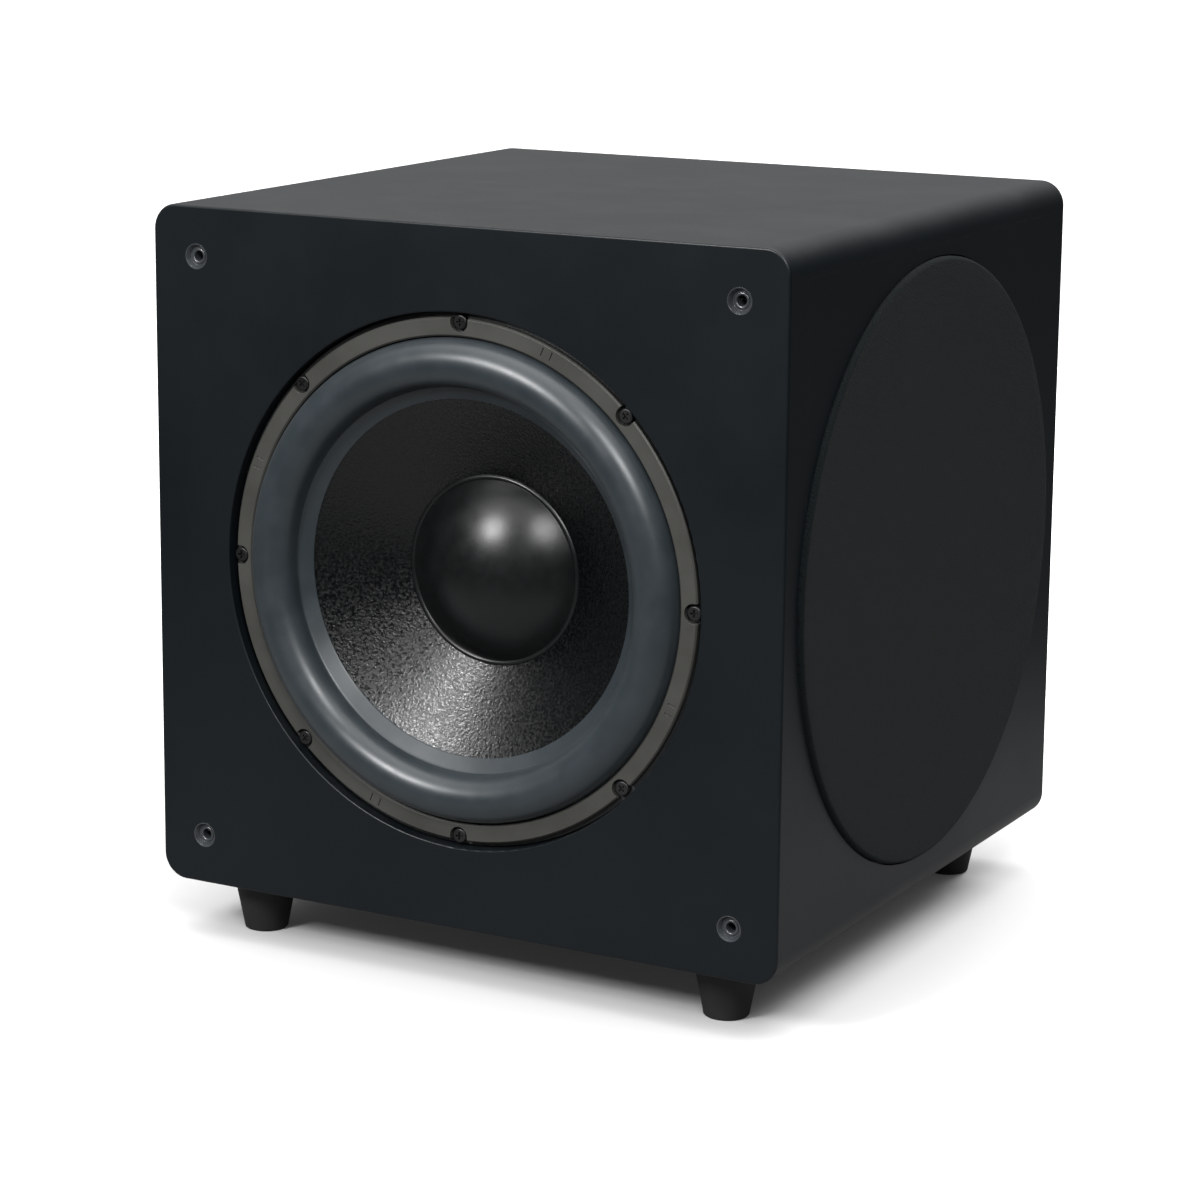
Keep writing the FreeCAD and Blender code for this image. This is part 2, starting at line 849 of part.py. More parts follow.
def woofer_screws():
    """Eight screws through the basket's flange into the baffle."""
    length = gasket_thickness + woofer_flange_thickness + woofer_screw_bite
    body = screw(
        woofer_screw_radius, woofer_screw_head_radius, woofer_screw_head_height,
        -flange_top, length, woofer_screw_circle, 0,
    )
    return [on_face(one, "front") for one in around(body, woofer_screw_count)]


def woofer_top_plate():
    """Steel ring round the coil's gap."""
    plate = ring(top_plate_radius, gap_radius, top_plate_depth, magnet_depth)
    return on_face(plate, "front")


def woofer_magnets():
    """Stacked ferrite rings."""
    magnets = []
    for index in range(magnet_count):
        top = magnet_depth + index * magnet_thickness
        magnets.append(on_face(ring(magnet_radius, magnet_hole_radius, top, top + magnet_thickness), "front"))
    return magnets


def woofer_yoke():
    """Back plate and vented pole in one turned piece."""
    body = turned([
        (pole_vent_radius, top_plate_depth),
        (pole_radius, top_plate_depth),
        (pole_radius, yoke_depth),
        (yoke_radius, yoke_depth),
        (yoke_radius, motor_end),
        (pole_vent_radius, motor_end),
    ])
    return on_face(body, "front")


def woofer_magnet_boot():
    """Rubber cover over the magnets' rim and back."""
    inner = magnet_radius + boot_gap
    outer = inner + boot_skin
    body = turned([
        (inner, magnet_depth + boot_lip),
        (outer, magnet_depth + boot_lip),
        (outer, motor_end + boot_skin),
        (boot_hole_radius, motor_end + boot_skin),
        (boot_hole_radius, motor_end),
        (inner, motor_end),
    ])
    return on_face(body, "front")


def terminal_depths():
    """Depth of the terminal block's two faces."""
    top = shelf_depth + basket_wall + terminal_shelf_gap
    return top, top + terminal_height


def terminal_plug_end():
    """Depth of the cable side of the terminal's plug."""
    return terminal_depths()[1] + terminal_tab_length + terminal_plug_length


def terminal_height_above_axis():
    """Height of the tabs and the cable over the woofer's axis."""
    return basket_cup_radius + terminal_tab_rise


def woofer_terminals():
    """Insulating block on the basket's cup, two tabs and the plug pushed on to them."""
    top, end = terminal_depths()
    low = basket_cup_radius - basket_wall
    base = block((-terminal_width / 2, terminal_width / 2), (low, basket_cup_radius + terminal_reach), (-end, -top))
    base = base.cut(drum(basket_cup_radius + seat_gap, (-end, -top)))
    y = terminal_height_above_axis()
    tab_end = end + terminal_tab_length
    pieces = [base]
    for side in (-1, 1):
        x = side * terminal_tab_pitch / 2
        tab = centred_block(x, y, terminal_tab_width, terminal_tab_thickness, (-tab_end, -end))
        pieces.append(tab)
    plug = centred_block(
        0, y, terminal_plug_width, terminal_plug_height, (-terminal_plug_end(), -tab_end)
    )
    pieces.append(plug)
    return [on_face(piece, "front") for piece in pieces]


# ---------------------------------------------------------------- woofer, flexible pieces
def woofer_surround():
    """Half-roll of rubber that joins the cone's rim to the basket's flange."""
    inner_roll = roll_radius - surround_skin
    landing_inner = roll_inner_base - landing_width
    rim_lift = glue_gap + landing_skin
    rim_top = cone_rim_depth - rim_lift
    land_top = cone_rim_depth + cone_slope * landing_width - rim_lift
    roll_top = surround_top - roll_radius
    edges = [
        line((surround_flange_radius, flange_top - seat_gap / 2), (surround_flange_radius, surround_top)),
        line((surround_flange_radius, surround_top), (roll_outer_base, surround_top)),
        arc((roll_outer_base, surround_top), (roll_middle, roll_top), (roll_inner_base, surround_top)),
        line((roll_inner_base, surround_top), (roll_inner_base, rim_top)),
        line((roll_inner_base, rim_top), (landing_inner, land_top)),
        line((landing_inner, land_top), (landing_inner, land_top + landing_skin)),
        line((landing_inner, land_top + landing_skin), (roll_inner_base, rim_top + landing_skin)),
        line((roll_inner_base, rim_top + landing_skin), (roll_middle - inner_roll, rim_top + landing_skin)),
        line((roll_middle - inner_roll, rim_top + landing_skin), (roll_middle - inner_roll, surround_top)),
        arc(
            (roll_middle - inner_roll, surround_top),
            (roll_middle, surround_top - inner_roll),
            (roll_middle + inner_roll, surround_top),
        ),
        line((roll_middle + inner_roll, surround_top), (roll_middle + inner_roll, flange_top - seat_gap / 2)),
        line(
            (roll_middle + inner_roll, flange_top - seat_gap / 2),
            (surround_flange_radius, flange_top - seat_gap / 2),
        ),
    ]
    return on_face(turned_edges(edges), "front")


def woofer_spider():
    """Corrugated disc that centres the coil."""
    inner = former_outer + glue_gap + seat_gap
    outer = basket_cup_radius - basket_wall - spider_skin
    rim = spider_shelf_radius - spider_rim_inset
    middle = shelf_depth - spider_skin - seat_gap
    steps = spider_wave_steps * spider_waves
    top = []
    for index in range(steps + 1):
        share = index / steps
        wave = spider_wave_height * math.sin(2 * math.pi * spider_waves * share)
        top.append((inner + (outer - inner) * share, middle - wave))
    top.append((rim, middle))
    bottom = [(radius, depth + spider_skin) for radius, depth in reversed(top)]
    return on_face(turned(top + bottom), "front")


def woofer_lead_wires():
    """Two flexible leads from the terminal block, round the basket, to the cone's back."""
    leads = []
    top, end = terminal_depths()
    start_depth = (top + end) / 2
    height = basket_cup_radius + terminal_reach
    for side in (-1, 1):
        points = []
        for outward, upward, inward in lead_route:
            points.append(Vector(side * (lead_spread + outward), height + upward, -start_depth - inward))
        leads.append(on_face(cord(points, lead_diameter), "front"))
    return leads


# ---------------------------------------------------------------- woofer, moving pieces
def woofer_cone():
    """Straight-sided cone from its rim to the coil's neck."""
    body = turned([
        (roll_inner_base, cone_rim_depth),
        (roll_inner_base, cone_rim_depth + cone_skin),
        (neck_radius, neck_depth + cone_skin),
        (neck_radius, neck_depth),
    ])
    return on_face(body, "front")


def cone_depth(radius):
    """Depth of the cone's front surface at a radius."""
    return cone_rim_depth + cone_slope * (roll_inner_base - radius)


def woofer_dust_cap():
    """Domed cap with a rolled bead where it is glued to the cone."""
    rim = dust_cap_radius - dust_cap_bead
    bead_outer = dust_cap_radius + dust_cap_bead
    foot_inner = cone_depth(rim)
    foot_outer = cone_depth(bead_outer)
    rim_depth = cone_depth(dust_cap_radius) - dust_cap_skin
    crown = rim_depth - dust_cap_height
    dome_radius = (rim ** 2 + dust_cap_height ** 2) / (2 * dust_cap_height)
    half_rise = dome_radius - math.sqrt(dome_radius ** 2 - (rim / 2) ** 2)
    inner_radius = dome_radius - dust_cap_skin
    inner_rim_fall = dome_radius - math.sqrt(inner_radius ** 2 - rim ** 2)
    inner_half_fall = dome_radius - math.sqrt(inner_radius ** 2 - (rim / 2) ** 2)
    edges = [
        arc((0, crown), (rim / 2, crown + half_rise), (rim, rim_depth)),
        arc((rim, rim_depth), (dust_cap_radius, rim_depth - dust_cap_bead / 2), (bead_outer, foot_outer)),
        line((bead_outer, foot_outer), (rim, foot_inner)),
        line((rim, foot_inner), (rim, crown + inner_rim_fall)),
        arc(
            (rim, crown + inner_rim_fall),
            (rim / 2, crown + inner_half_fall),
            (0, crown + dust_cap_skin),
        ),
        line((0, crown + dust_cap_skin), (0, crown)),
    ]
    return on_face(turned_edges(edges), "front")


def voice_coil():
    """Former tube and the winding round its lower end."""
    tail = coil_middle + winding_height / 2 + former_tail
    former = ring(former_outer, coil_radius, neck_depth - former_lap, tail)
    top = coil_middle - winding_height / 2
    winding = ring(winding_outer, former_outer, top, top + winding_height)
    return [on_face(former, "front"), on_face(winding, "front")]


# ---------------------------------------------------------------- passive radiators
def radiator_frame(face):
    """Flanged ring that carries a radiator."""
    wall = radiator_wall
    end = radiator_top + radiator_flange_thickness + radiator_barrel_length
    body = turned([
        (radiator_barrel_radius - wall, radiator_top),
        (radiator_flange_radius, radiator_top),
        (radiator_flange_radius, radiator_top + radiator_flange_thickness),
        (radiator_barrel_radius, radiator_top + radiator_flange_thickness),
        (radiator_barrel_radius, end),
        (radiator_barrel_radius - wall, end),
    ])
    hole = drum(
        radiator_screw_radius + screw_hole_clearance, (-radiator_seat_depth, 0), radiator_screw_circle, 0
    )
    return on_face(cut_all(body, around(hole, radiator_screw_count)), face)


def radiator_surround(face):
    """Inward half-roll between the radiator's frame and its cone."""
    skin = radiator_skin
    top = radiator_top - skin - seat_gap / 2
    under = top + skin
    middle = (radiator_roll_outer + radiator_roll_inner) / 2
    outer_roll = (radiator_roll_outer - radiator_roll_inner) / 2
    inner_roll = outer_roll - skin
    landing = radiator_roll_inner - radiator_landing
    edges = [
        line((radiator_surround_radius, under), (radiator_surround_radius, top)),
        line((radiator_surround_radius, top), (middle + inner_roll, top)),
        arc((middle + inner_roll, top), (middle, top + inner_roll), (middle - inner_roll, top)),
        line((middle - inner_roll, top), (landing, top)),
        line((landing, top), (landing, under)),
        line((landing, under), (radiator_roll_inner, under)),
        arc((radiator_roll_inner, under), (middle, under + outer_roll), (radiator_roll_outer, under)),
        line((radiator_roll_outer, under), (radiator_surround_radius, under)),
    ]
    return on_face(turned_edges(edges), face)


def radiator_cone(face):
    """Shallow dished diaphragm with a flat hub."""
    rim = radiator_roll_inner - radiator_cone_inset
    lip = radiator_roll_inner - radiator_landing
    top = radiator_top + glue_gap
    skin = radiator_cone_skin
    body = turned([
        (0, radiator_hub_depth),
        (radiator_hub_radius, radiator_hub_depth),
        (lip, top),
        (rim, top),
        (rim, top + skin / 2),
        (lip, top + skin),
        (radiator_hub_radius, radiator_hub_depth + skin),
        (0, radiator_hub_depth + skin),
    ])
    hole = drum(radiator_bolt_radius + seat_gap, (-radiator_back - OVERSHOOT, 0))
    return on_face(body.cut(hole), face)


def radiator_weight(face):
    """Steel mass on the back of the cone and the bolt that clamps it there."""
    end = radiator_back + radiator_weight_thickness
    disc = ring(radiator_weight_radius, radiator_bolt_radius + seat_gap, radiator_back, end)
    head_top = radiator_hub_depth - radiator_bolt_head_height
    shank = drum(radiator_bolt_radius, (-end, -radiator_hub_depth))
    head = drum(radiator_bolt_head_radius, (-radiator_hub_depth, -head_top))
    nut = drum(radiator_bolt_head_radius, (-end - radiator_bolt_head_height, -end))
    bolt = joined([shank, head, nut])
    return [on_face(disc, face), on_face(bolt, face)]


def radiator_gaskets():
    """Foam rings under both radiators' flanges."""
    top = radiator_seat_depth - gasket_thickness
    outer = radiator_flange_radius - gasket_margin
    inner = radiator_barrel_radius + cutout_gap + gasket_margin
    band = ring(outer, inner, top, radiator_seat_depth)
    hole = drum(
        radiator_screw_radius + screw_hole_clearance, (-radiator_seat_depth, 0), radiator_screw_circle, 0
    )
    band = cut_all(band, around(hole, radiator_screw_count))
    return [on_face(band, face) for face in ("left", "right")]


def radiator_screws():
    """Screws of both radiators."""
    length = radiator_flange_thickness + gasket_thickness + radiator_screw_bite
    body = screw(
        radiator_screw_radius, radiator_screw_head_radius, radiator_screw_head_height,
        -radiator_top, length, radiator_screw_circle, 0,
    )
    screws = []
    for face in ("left", "right"):
        screws += [on_face(one, face) for one in around(body, radiator_screw_count)]
    return screws


# ---------------------------------------------------------------- side grilles
def grille_frame(face):
    """Flat ring with push-in pegs on its back."""
    outer = grille_radius - cloth_skin - seat_gap
    inner = outer - grille_ring_width
    top = -(grille_proud - cloth_skin - seat_gap)
    back = grille_seat_depth - grille_seat_gap
    edge = cloth_edge_radius - cloth_skin
    body = turned([
        (inner, top), (outer - edge, top), (outer, top + edge), (outer, back), (inner, back),
    ])
    peg = drum(peg_radius, (-back - peg_length, -back), peg_circle, 0)
    return on_face(joined([body] + around(peg, peg_count, peg_turn)), face)


def grille_cloth(face):
    """Cloth drawn over the ring's face and down its edge."""
    top = -grille_proud
    back = grille_seat_depth - grille_seat_gap
    edge = cloth_edge_radius
    inner_edge = edge - cloth_skin
    bevel = 1 - math.sqrt(0.5)
    inner = grille_radius - cloth_skin
    edges = [
        line((0, top), (grille_radius - edge, top)),
        arc(
            (grille_radius - edge, top),
            (grille_radius - edge * bevel, top + edge * bevel),
            (grille_radius, top + edge),
        ),
        line((grille_radius, top + edge), (grille_radius, back)),
        line((grille_radius, back), (inner, back)),
        line((inner, back), (inner, top + edge)),
        arc(
            (inner, top + edge),
            (inner - inner_edge * bevel, top + cloth_skin + inner_edge * bevel),
            (inner - inner_edge, top + cloth_skin),
        ),
        line((inner - inner_edge, top + cloth_skin), (0, top + cloth_skin)),
        line((0, top + cloth_skin), (0, top)),
    ]
    return on_face(turned_edges(edges), face)


# ---------------------------------------------------------------- amplifier, outside
def amp_screw_places():
    """Screw centres round the plate, in the rear face's frame."""
    x = amp_plate_width / 2 - amp_screw_inset
    y = amp_plate_height / 2 - amp_screw_inset
    offsets = [(-x, y), (0, y), (x, y), (-x, -y), (0, -y), (x, -y)]
    offsets += [(side * x, share * y) for side in (-1, 1) for share in (-1 / 3, 1 / 3)]
    return [(px, py - amp_plate_drop) for px, py in offsets]


def amp_plate():
    """Steel plate pierced for its controls, sockets and screws."""
    plate = slab(
        0, -amp_plate_drop, amp_plate_width, amp_plate_height, amp_plate_corner,
        (plate_inner_z, plate_outer_z),
    )
    span = (plate_inner_z - OVERSHOOT, plate_outer_z + OVERSHOOT)
    cuts = [drum(amp_screw_radius + screw_hole_clearance, span, x, y) for x, y in amp_screw_places()]
    for x in (volume_x, crossover_x):
        cuts.append(drum(bushing_radius + seat_gap, span, x, knob_y))
    for x in (phase_x, mode_x):
        width = lever_width + switch_travel + 2 * lever_side_gap
        slot_x = x + switch_travel / 2
        cuts.append(centred_block(slot_x, switch_y, width, lever_height + 2 * lever_side_gap, span))
    for x in jack_xs:
        cuts.append(drum(jack_barrel_radius + seat_gap, span, x, jack_y))
    cuts.append(drum(light_radius + seat_gap, span, light_x, light_y))
    room = 2 * seat_gap
    cuts.append(centred_block(inlet_x, inlet_y, inlet_body_width + room, inlet_body_height + room, span))
    width = rocker_body_width() + room
    height = rocker_body_height() + room
    cuts.append(centred_block(rocker_x, rocker_y, width, height, span))
    return on_face(cut_all(plate, cuts), "rear")


def amp_gasket():
    """Foam frame between the plate and the rear panel."""
    outer = centred_block(0, -amp_plate_drop, amp_plate_width, amp_plate_height, (0, plate_inner_z))
    hole = centred_block(
        0, -amp_plate_drop, amp_cutout_width, amp_cutout_height, (-OVERSHOOT, plate_inner_z + OVERSHOOT)
    )
    cuts = [hole]
    for x, y in amp_screw_places():
        cuts.append(drum(amp_screw_radius + screw_hole_clearance, (0, plate_inner_z), x, y))
    return on_face(cut_all(outer, cuts), "rear")


def amp_screws():
    """Screws round the amplifier's plate."""
    length = plate_outer_z + amp_screw_bite
    screws = []
    for x, y in amp_screw_places():
        body = screw(amp_screw_radius, amp_screw_head_radius, amp_screw_head_height, plate_outer_z, length, x, y)
        screws.append(on_face(body, "rear"))
    return screws


def amp_heat_sink():
    """Finned extrusion on the plate's outer side."""
    base_top = plate_outer_z + sink_base
    solids = [centred_block(sink_x, sink_y, sink_width, sink_height, (plate_outer_z, base_top))]
    pitch = (sink_width - fin_thickness) / (sink_fins - 1)
    for index in range(sink_fins):
        x = sink_x - sink_width / 2 + fin_thickness / 2 + index * pitch
        solids.append(centred_block(x, sink_y, fin_thickness, sink_height, (base_top, base_top + fin_height)))
    return on_face(joined(solids), "rear")


def hexagon(across, z_span, x, y):
    """Hexagonal prism of a width across its flats."""
    radius = across / math.sqrt(3)
    corners = []
    for index in range(7):
        angle = math.radians(60 * index)
        corners.append(Vector(x + radius * math.cos(angle), y + radius * math.sin(angle), min(z_span)))
    face = Part.Face(Part.makePolygon(corners))
    return face.extrude(Vector(0, 0, abs(z_span[1] - z_span[0])))


def potentiometer(x):
    """Body behind the plate, bushing through it and the nut that holds it."""
    body = centred_block(x, knob_y, pot_size, pot_size, (plate_inner_z - pot_depth, plate_inner_z))
    bushing = drum(bushing_radius, (plate_inner_z, plate_outer_z + bushing_proud), x, knob_y)
    nut = hexagon(nut_across, (plate_outer_z, plate_outer_z + nut_thickness), x, knob_y)
    whole = joined([body, bushing, nut])
    bore = drum(shaft_radius + shaft_clearance, (-pot_depth, knob_length), x, knob_y)
    return whole.cut(bore)


def slide_switch(x):
    """Open-topped body behind the plate that guides the lever."""
    middle = x + switch_travel / 2
    span = (plate_inner_z - switch_body_depth, plate_inner_z)
    body = centred_block(middle, switch_y, switch_body_width, switch_body_height, span)
    room = lever_width + switch_travel + 2 * lever_side_gap
    well = centred_block(
        middle, switch_y, room, lever_height + 2 * lever_side_gap, (span[0] + switch_wall, span[1])
    )
    return body.cut(well)


def controls():
    """Potentiometers and slide switches."""
    solids = [potentiometer(volume_x), potentiometer(crossover_x), slide_switch(phase_x), slide_switch(mode_x)]
    return [on_face(solid, "rear") for solid in solids]


def knob(x):
    """Fluted knob with its pointer groove, on its own shaft."""
    low = plate_outer_z + knob_lift
    high = low + knob_length
    body = Part.makeCone(knob_radius, knob_tip_radius, knob_length, Vector(0, 0, low), AXIS)
    tip = [edge for edge in body.Edges if edge.BoundBox.ZMin > high - 0.01]
    body = body.makeFillet(knob_edge_radius, tip)
    flute_span = (low + knob_flute_start, high + OVERSHOOT)
    flute = drum(knob_flute_radius, flute_span, knob_radius + knob_flute_inset, 0)
    cuts = around(flute, knob_flutes, 180.0 / knob_flutes)
    cuts.append(drum(knob_cavity_radius, (low - OVERSHOOT, low + knob_cavity_depth)))
    mark_y = (knob_mark_start, knob_radius)
    mark_z = (high - knob_mark_depth, high + OVERSHOOT)
    cuts.append(block((-knob_mark_width / 2, knob_mark_width / 2), mark_y, mark_z))
    body = cut_all(body, cuts)
    shaft_end = plate_inner_z - pot_depth + shaft_end_room
    whole = joined([body, drum(shaft_radius, (shaft_end, low + knob_cavity_depth + shaft_grip))])
    whole.translate(Vector(x, knob_y, 0))
    return on_face(whole, "rear")


def lever(x):
    """Ribbed thumb lever of a slide switch, at the left end of its travel."""
    span = (plate_inner_z - lever_tail, plate_outer_z + lever_proud)
    body = centred_block(x, switch_y, lever_width, lever_height, span)
    groove_span = (span[1] - lever_rib_depth, span[1] + OVERSHOOT)
    cuts = []
    for step in (-1, 0, 1):
        groove_x = x + step * lever_rib_pitch
        cuts.append(centred_block(groove_x, switch_y, lever_rib_width, lever_height + OVERSHOOT, groove_span))
    return on_face(cut_all(body, cuts), "rear")


def line_in_jacks():
    """Phono sockets: flange and barrel outside, body behind the plate."""
    solids = []
    for x in jack_xs:
        front = plate_outer_z + jack_barrel_length
        body = centred_block(x, jack_y, jack_body_size, jack_body_size, (plate_inner_z - jack_body_depth, plate_inner_z))
        barrel = drum(jack_barrel_radius, (plate_inner_z, front), x, jack_y)
        flange = drum(jack_flange_radius, (plate_outer_z, plate_outer_z + jack_flange_thickness), x, jack_y)
        bore = drum(jack_hole_radius, (front - jack_hole_depth, front), x, jack_y)
        solids.append(on_face(joined([body, barrel, flange]).cut(bore), "rear"))
    return solids


def status_light():
    """Round lens beside the switches."""
    top = plate_outer_z + light_proud
    body = drum(light_radius, (plate_inner_z - light_tail, top), light_x, light_y)
    tip = [edge for edge in body.Edges if edge.BoundBox.ZMin > top - 0.01]
    return on_face(body.makeFillet(light_edge_radius, tip), "rear")


def drawer_middle():
    """Height of the fuse drawer's middle in the rear face's frame."""
    return inlet_y - drawer_sink


def power_inlet():
    """Three-pin mains inlet with a slot for its fuse drawer."""
    face_z = plate_outer_z + inlet_flange_thickness
    flange = slab(
        inlet_x, inlet_y, inlet_flange_width, inlet_flange_height, inlet_corner, (plate_outer_z, face_z)
    )
    back_z = face_z - inlet_body_depth
    body = centred_block(inlet_x, inlet_y, inlet_body_width, inlet_body_height, (back_z, plate_outer_z))
    mouth_y = inlet_y + inlet_mouth_rise
    mouth = slab(
        inlet_x, mouth_y, inlet_mouth_width, inlet_mouth_height, inlet_corner,
        (face_z - inlet_mouth_depth, face_z + OVERSHOOT),
    )
    slot = centred_block(
        inlet_x, drawer_middle(), drawer_width + 2 * drawer_gap, drawer_height + 2 * drawer_gap,
        (face_z - drawer_depth - 2 * drawer_gap, face_z + OVERSHOOT),
    )
    shell = joined([flange, body]).cut(mouth).cut(slot)
    pins = []
    pin_span = (face_z - inlet_mouth_depth, face_z - inlet_pin_setback)
    places = [(-inlet_pin_pitch, -inlet_pin_offset), (0, inlet_pin_offset), (inlet_pin_pitch, -inlet_pin_offset)]
    for dx, dy in places:
        pins.append(centred_block(inlet_x + dx, mouth_y + dy, inlet_pin_width, inlet_pin_height, pin_span))
    return on_face(joined([shell] + pins), "rear")


def fuse_drawer():
    """Box that carries the fuse, with a lip to pull it by."""
    face_z = plate_outer_z + inlet_flange_thickness
    y = drawer_middle()
    body = centred_block(inlet_x, y, drawer_width, drawer_height, (face_z - drawer_depth, face_z))
    lap = 2 * drawer_lip_lap
    lip_span = (face_z + drawer_gap, face_z + drawer_gap + drawer_lip)
    neck = centred_block(inlet_x, y, drawer_width - lap, drawer_height - lap, (face_z, face_z + drawer_gap))
    lip = centred_block(inlet_x, y, drawer_width + lap, drawer_height + lap, lip_span)
    well = block(
        (inlet_x - drawer_width / 2 + drawer_wall, inlet_x + drawer_width / 2 - drawer_wall),
        (y - drawer_height / 2 + drawer_wall, y + drawer_height / 2 + OVERSHOOT),
        (face_z - drawer_depth + drawer_wall, face_z - drawer_front),
    )
    return on_face(joined([body, neck, lip]).cut(well), "rear")


def rocker_body_width():
    """Width of the rocker housing's box behind its frame."""
    return rocker_frame_width - 2 * rocker_wall + rocker_body_lap


def rocker_body_height():
    """Height of the rocker housing's box behind its frame."""
    return rocker_frame_height - 2 * rocker_wall + rocker_body_lap


def rocker_well_width():
    """Width of the well that the paddle rocks in."""
    return rocker_body_width() - 2 * rocker_body_lap


def rocker_housing():
    """Framed box that holds the power rocker."""
    face_z = plate_outer_z + rocker_frame_thickness
    back_z = face_z - rocker_body_depth
    frame = slab(
        rocker_x, rocker_y, rocker_frame_width, rocker_frame_height, rocker_corner, (plate_outer_z, face_z)
    )
    box = centred_block(
        rocker_x, rocker_y, rocker_body_width(), rocker_body_height(), (back_z, plate_outer_z)
    )
    well_height = 2 * (rocker_radius + rocker_side_gap) + rocker_well_room
    well = centred_block(
        rocker_x, rocker_y, rocker_well_width(), well_height, (back_z + rocker_wall, face_z + OVERSHOOT)
    )
    return on_face(joined([frame, box]).cut(well), "rear")


def rocker_pivot_z():
    """Height of the rocker's pivot in the rear face's frame."""
    return plate_outer_z + rocker_frame_thickness - rocker_pivot_sink


def power_rocker():
    """Dished paddle, tilted to its off position about its pivot."""
    half = rocker_well_width() / 2 - rocker_side_gap
    outline = Part.makePolygon([
        Vector(0, -rocker_radius, -rocker_tail),
        Vector(0, rocker_radius, -rocker_tail),
        Vector(0, rocker_radius, rocker_crown),
        Vector(0, 0, rocker_dip),
        Vector(0, -rocker_radius, rocker_crown),
        Vector(0, -rocker_radius, -rocker_tail),
    ])
    prism = Part.Face(outline).extrude(Vector(2 * half, 0, 0))
    prism.translate(Vector(-half, 0, 0))
    round_end = Part.makeCylinder(rocker_radius, 2 * half, Vector(-half, 0, 0), Vector(1, 0, 0))
    paddle = prism.common(round_end)
    paddle.rotate(Vector(0, 0, 0), Vector(1, 0, 0), rocker_tilt)
    paddle.translate(Vector(rocker_x, rocker_y, rocker_pivot_z()))
    return on_face(paddle, "rear")


# ---------------------------------------------------------------- amplifier, inside
def board_face_z():
    """Inner face of the circuit board, in the rear face's frame."""
    return plate_inner_z - board_standoff - board_thickness


def amp_circuit_board():
    """Board on standoffs, with its capacitors, output bar and cable socket."""
    outer_z = plate_inner_z - board_standoff
    inner_z = board_face_z()
    solids = [centred_block(0, board_y, board_width, board_height, (inner_z, outer_z))]
    for side in (-1, 1):
        for end in (-1, 1):
            x = side * (board_width / 2 - standoff_inset)
            y = board_y + end * (board_height / 2 - standoff_inset)
            solids.append(drum(standoff_radius, (outer_z, plate_inner_z), x, y))
    for x in capacitor_xs:
        solids.append(drum(capacitor_radius, (inner_z - capacitor_length, inner_z), x, capacitor_y))
    span = (inner_z - chip_bar_depth, inner_z)
    solids.append(centred_block(chip_bar_x, chip_bar_y, chip_bar_width, chip_bar_height, span))
    solids.append(centred_block(plug_x, plug_y, plug_width, plug_height, (inner_z - plug_length, inner_z)))
    return [on_face(solid, "rear") for solid in solids]


def amp_transformer():
    """Toroidal transformer with its clamping dish and bolt."""
    start = plate_inner_z
    pad_end = start - transformer_pad
    end = pad_end - transformer_length
    hole = transformer_hole_radius
    toroid = drum(transformer_radius, (end, pad_end))
    rims = [edge for edge in toroid.Edges if edge.BoundBox.ZLength < 0.01]
    toroid = toroid.makeFillet(transformer_corner, rims).cut(drum(hole, (end, pad_end)))
    pad = drum(transformer_radius - transformer_corner, (pad_end, start))
    dish = drum(transformer_dish_radius, (end - transformer_dish_thickness, end))
    bolt = drum(transformer_bolt_radius, (end, pad_end))
    solids = [toroid, joined([pad, bolt, dish])]
    placed = []
    for solid in solids:
        solid.translate(Vector(transformer_x, transformer_y, 0))
        placed.append(on_face(solid, "rear"))
    return placed


# ---------------------------------------------------------------- speaker cable
def cord(points, diameter):
    """Round cord along straight runs joined by the largest tangent arcs that fit."""
    corners = []
    for before, here, after in zip(points, points[1:], points[2:]):
        back = before - here
        ahead = after - here
        reach = 0.45 * min(back.Length, ahead.Length)
        back.normalize()
        ahead.normalize()
        half_turn = (math.pi - back.getAngle(ahead)) / 2
        radius = reach / math.tan(half_turn)
        middle = back + ahead
        middle.normalize()
        bulge = here + middle * (radius / math.cos(half_turn) - radius)
        corners.append((here + back * reach, bulge, here + ahead * reach, radius))
    edges = []
    start = points[0]
    for entry, bulge, leave, _ in corners:
        edges.append(Part.LineSegment(start, entry).toShape())
        edges.append(Part.Arc(entry, bulge, leave).toShape())
        start = leave
    edges.append(Part.LineSegment(start, points[-1]).toShape())
    path = Part.Wire(edges)
    heading = points[1] - points[0]
    section = Part.Wire(Part.Circle(points[0], heading, diameter / 2).toShape())
    tube = path.makePipeShell([section], True, True)
    expected = math.pi * diameter ** 2 / 4 * path.Length
    radii = " ".join("%.0f" % corner[3] for corner in corners)
    print("cord %.1f: length %.1f, volume ratio %.4f, radii %s" % (
        diameter, path.Length, tube.Volume / expected, radii))
    return tube


def speaker_cable():
    """Two-core cable from the amplifier board to the woofer's plug."""
    start_y = front_y + terminal_plug_end()
    start_z = centre_z + terminal_height_above_axis()
    end_y = rear_y + board_face_z() - plug_length
    end_x = -plug_x
    end_z = centre_z + plug_y
    points = [
        Vector(0, start_y, start_z),
        Vector(0, start_y + 26, start_z),
        Vector(-3, start_y + 66, start_z + 6),
        Vector(-9, start_y + 112, start_z + 4),
        Vector(-15, start_y + 154, start_z - 12),
        Vector(end_x, end_y - 62, end_z + 30),
        Vector(end_x - 1, end_y - 44, end_z + 8),
        Vector(end_x, end_y - 22, end_z),
        Vector(end_x, end_y, end_z),
    ]
    return cord(points, cable_diameter)


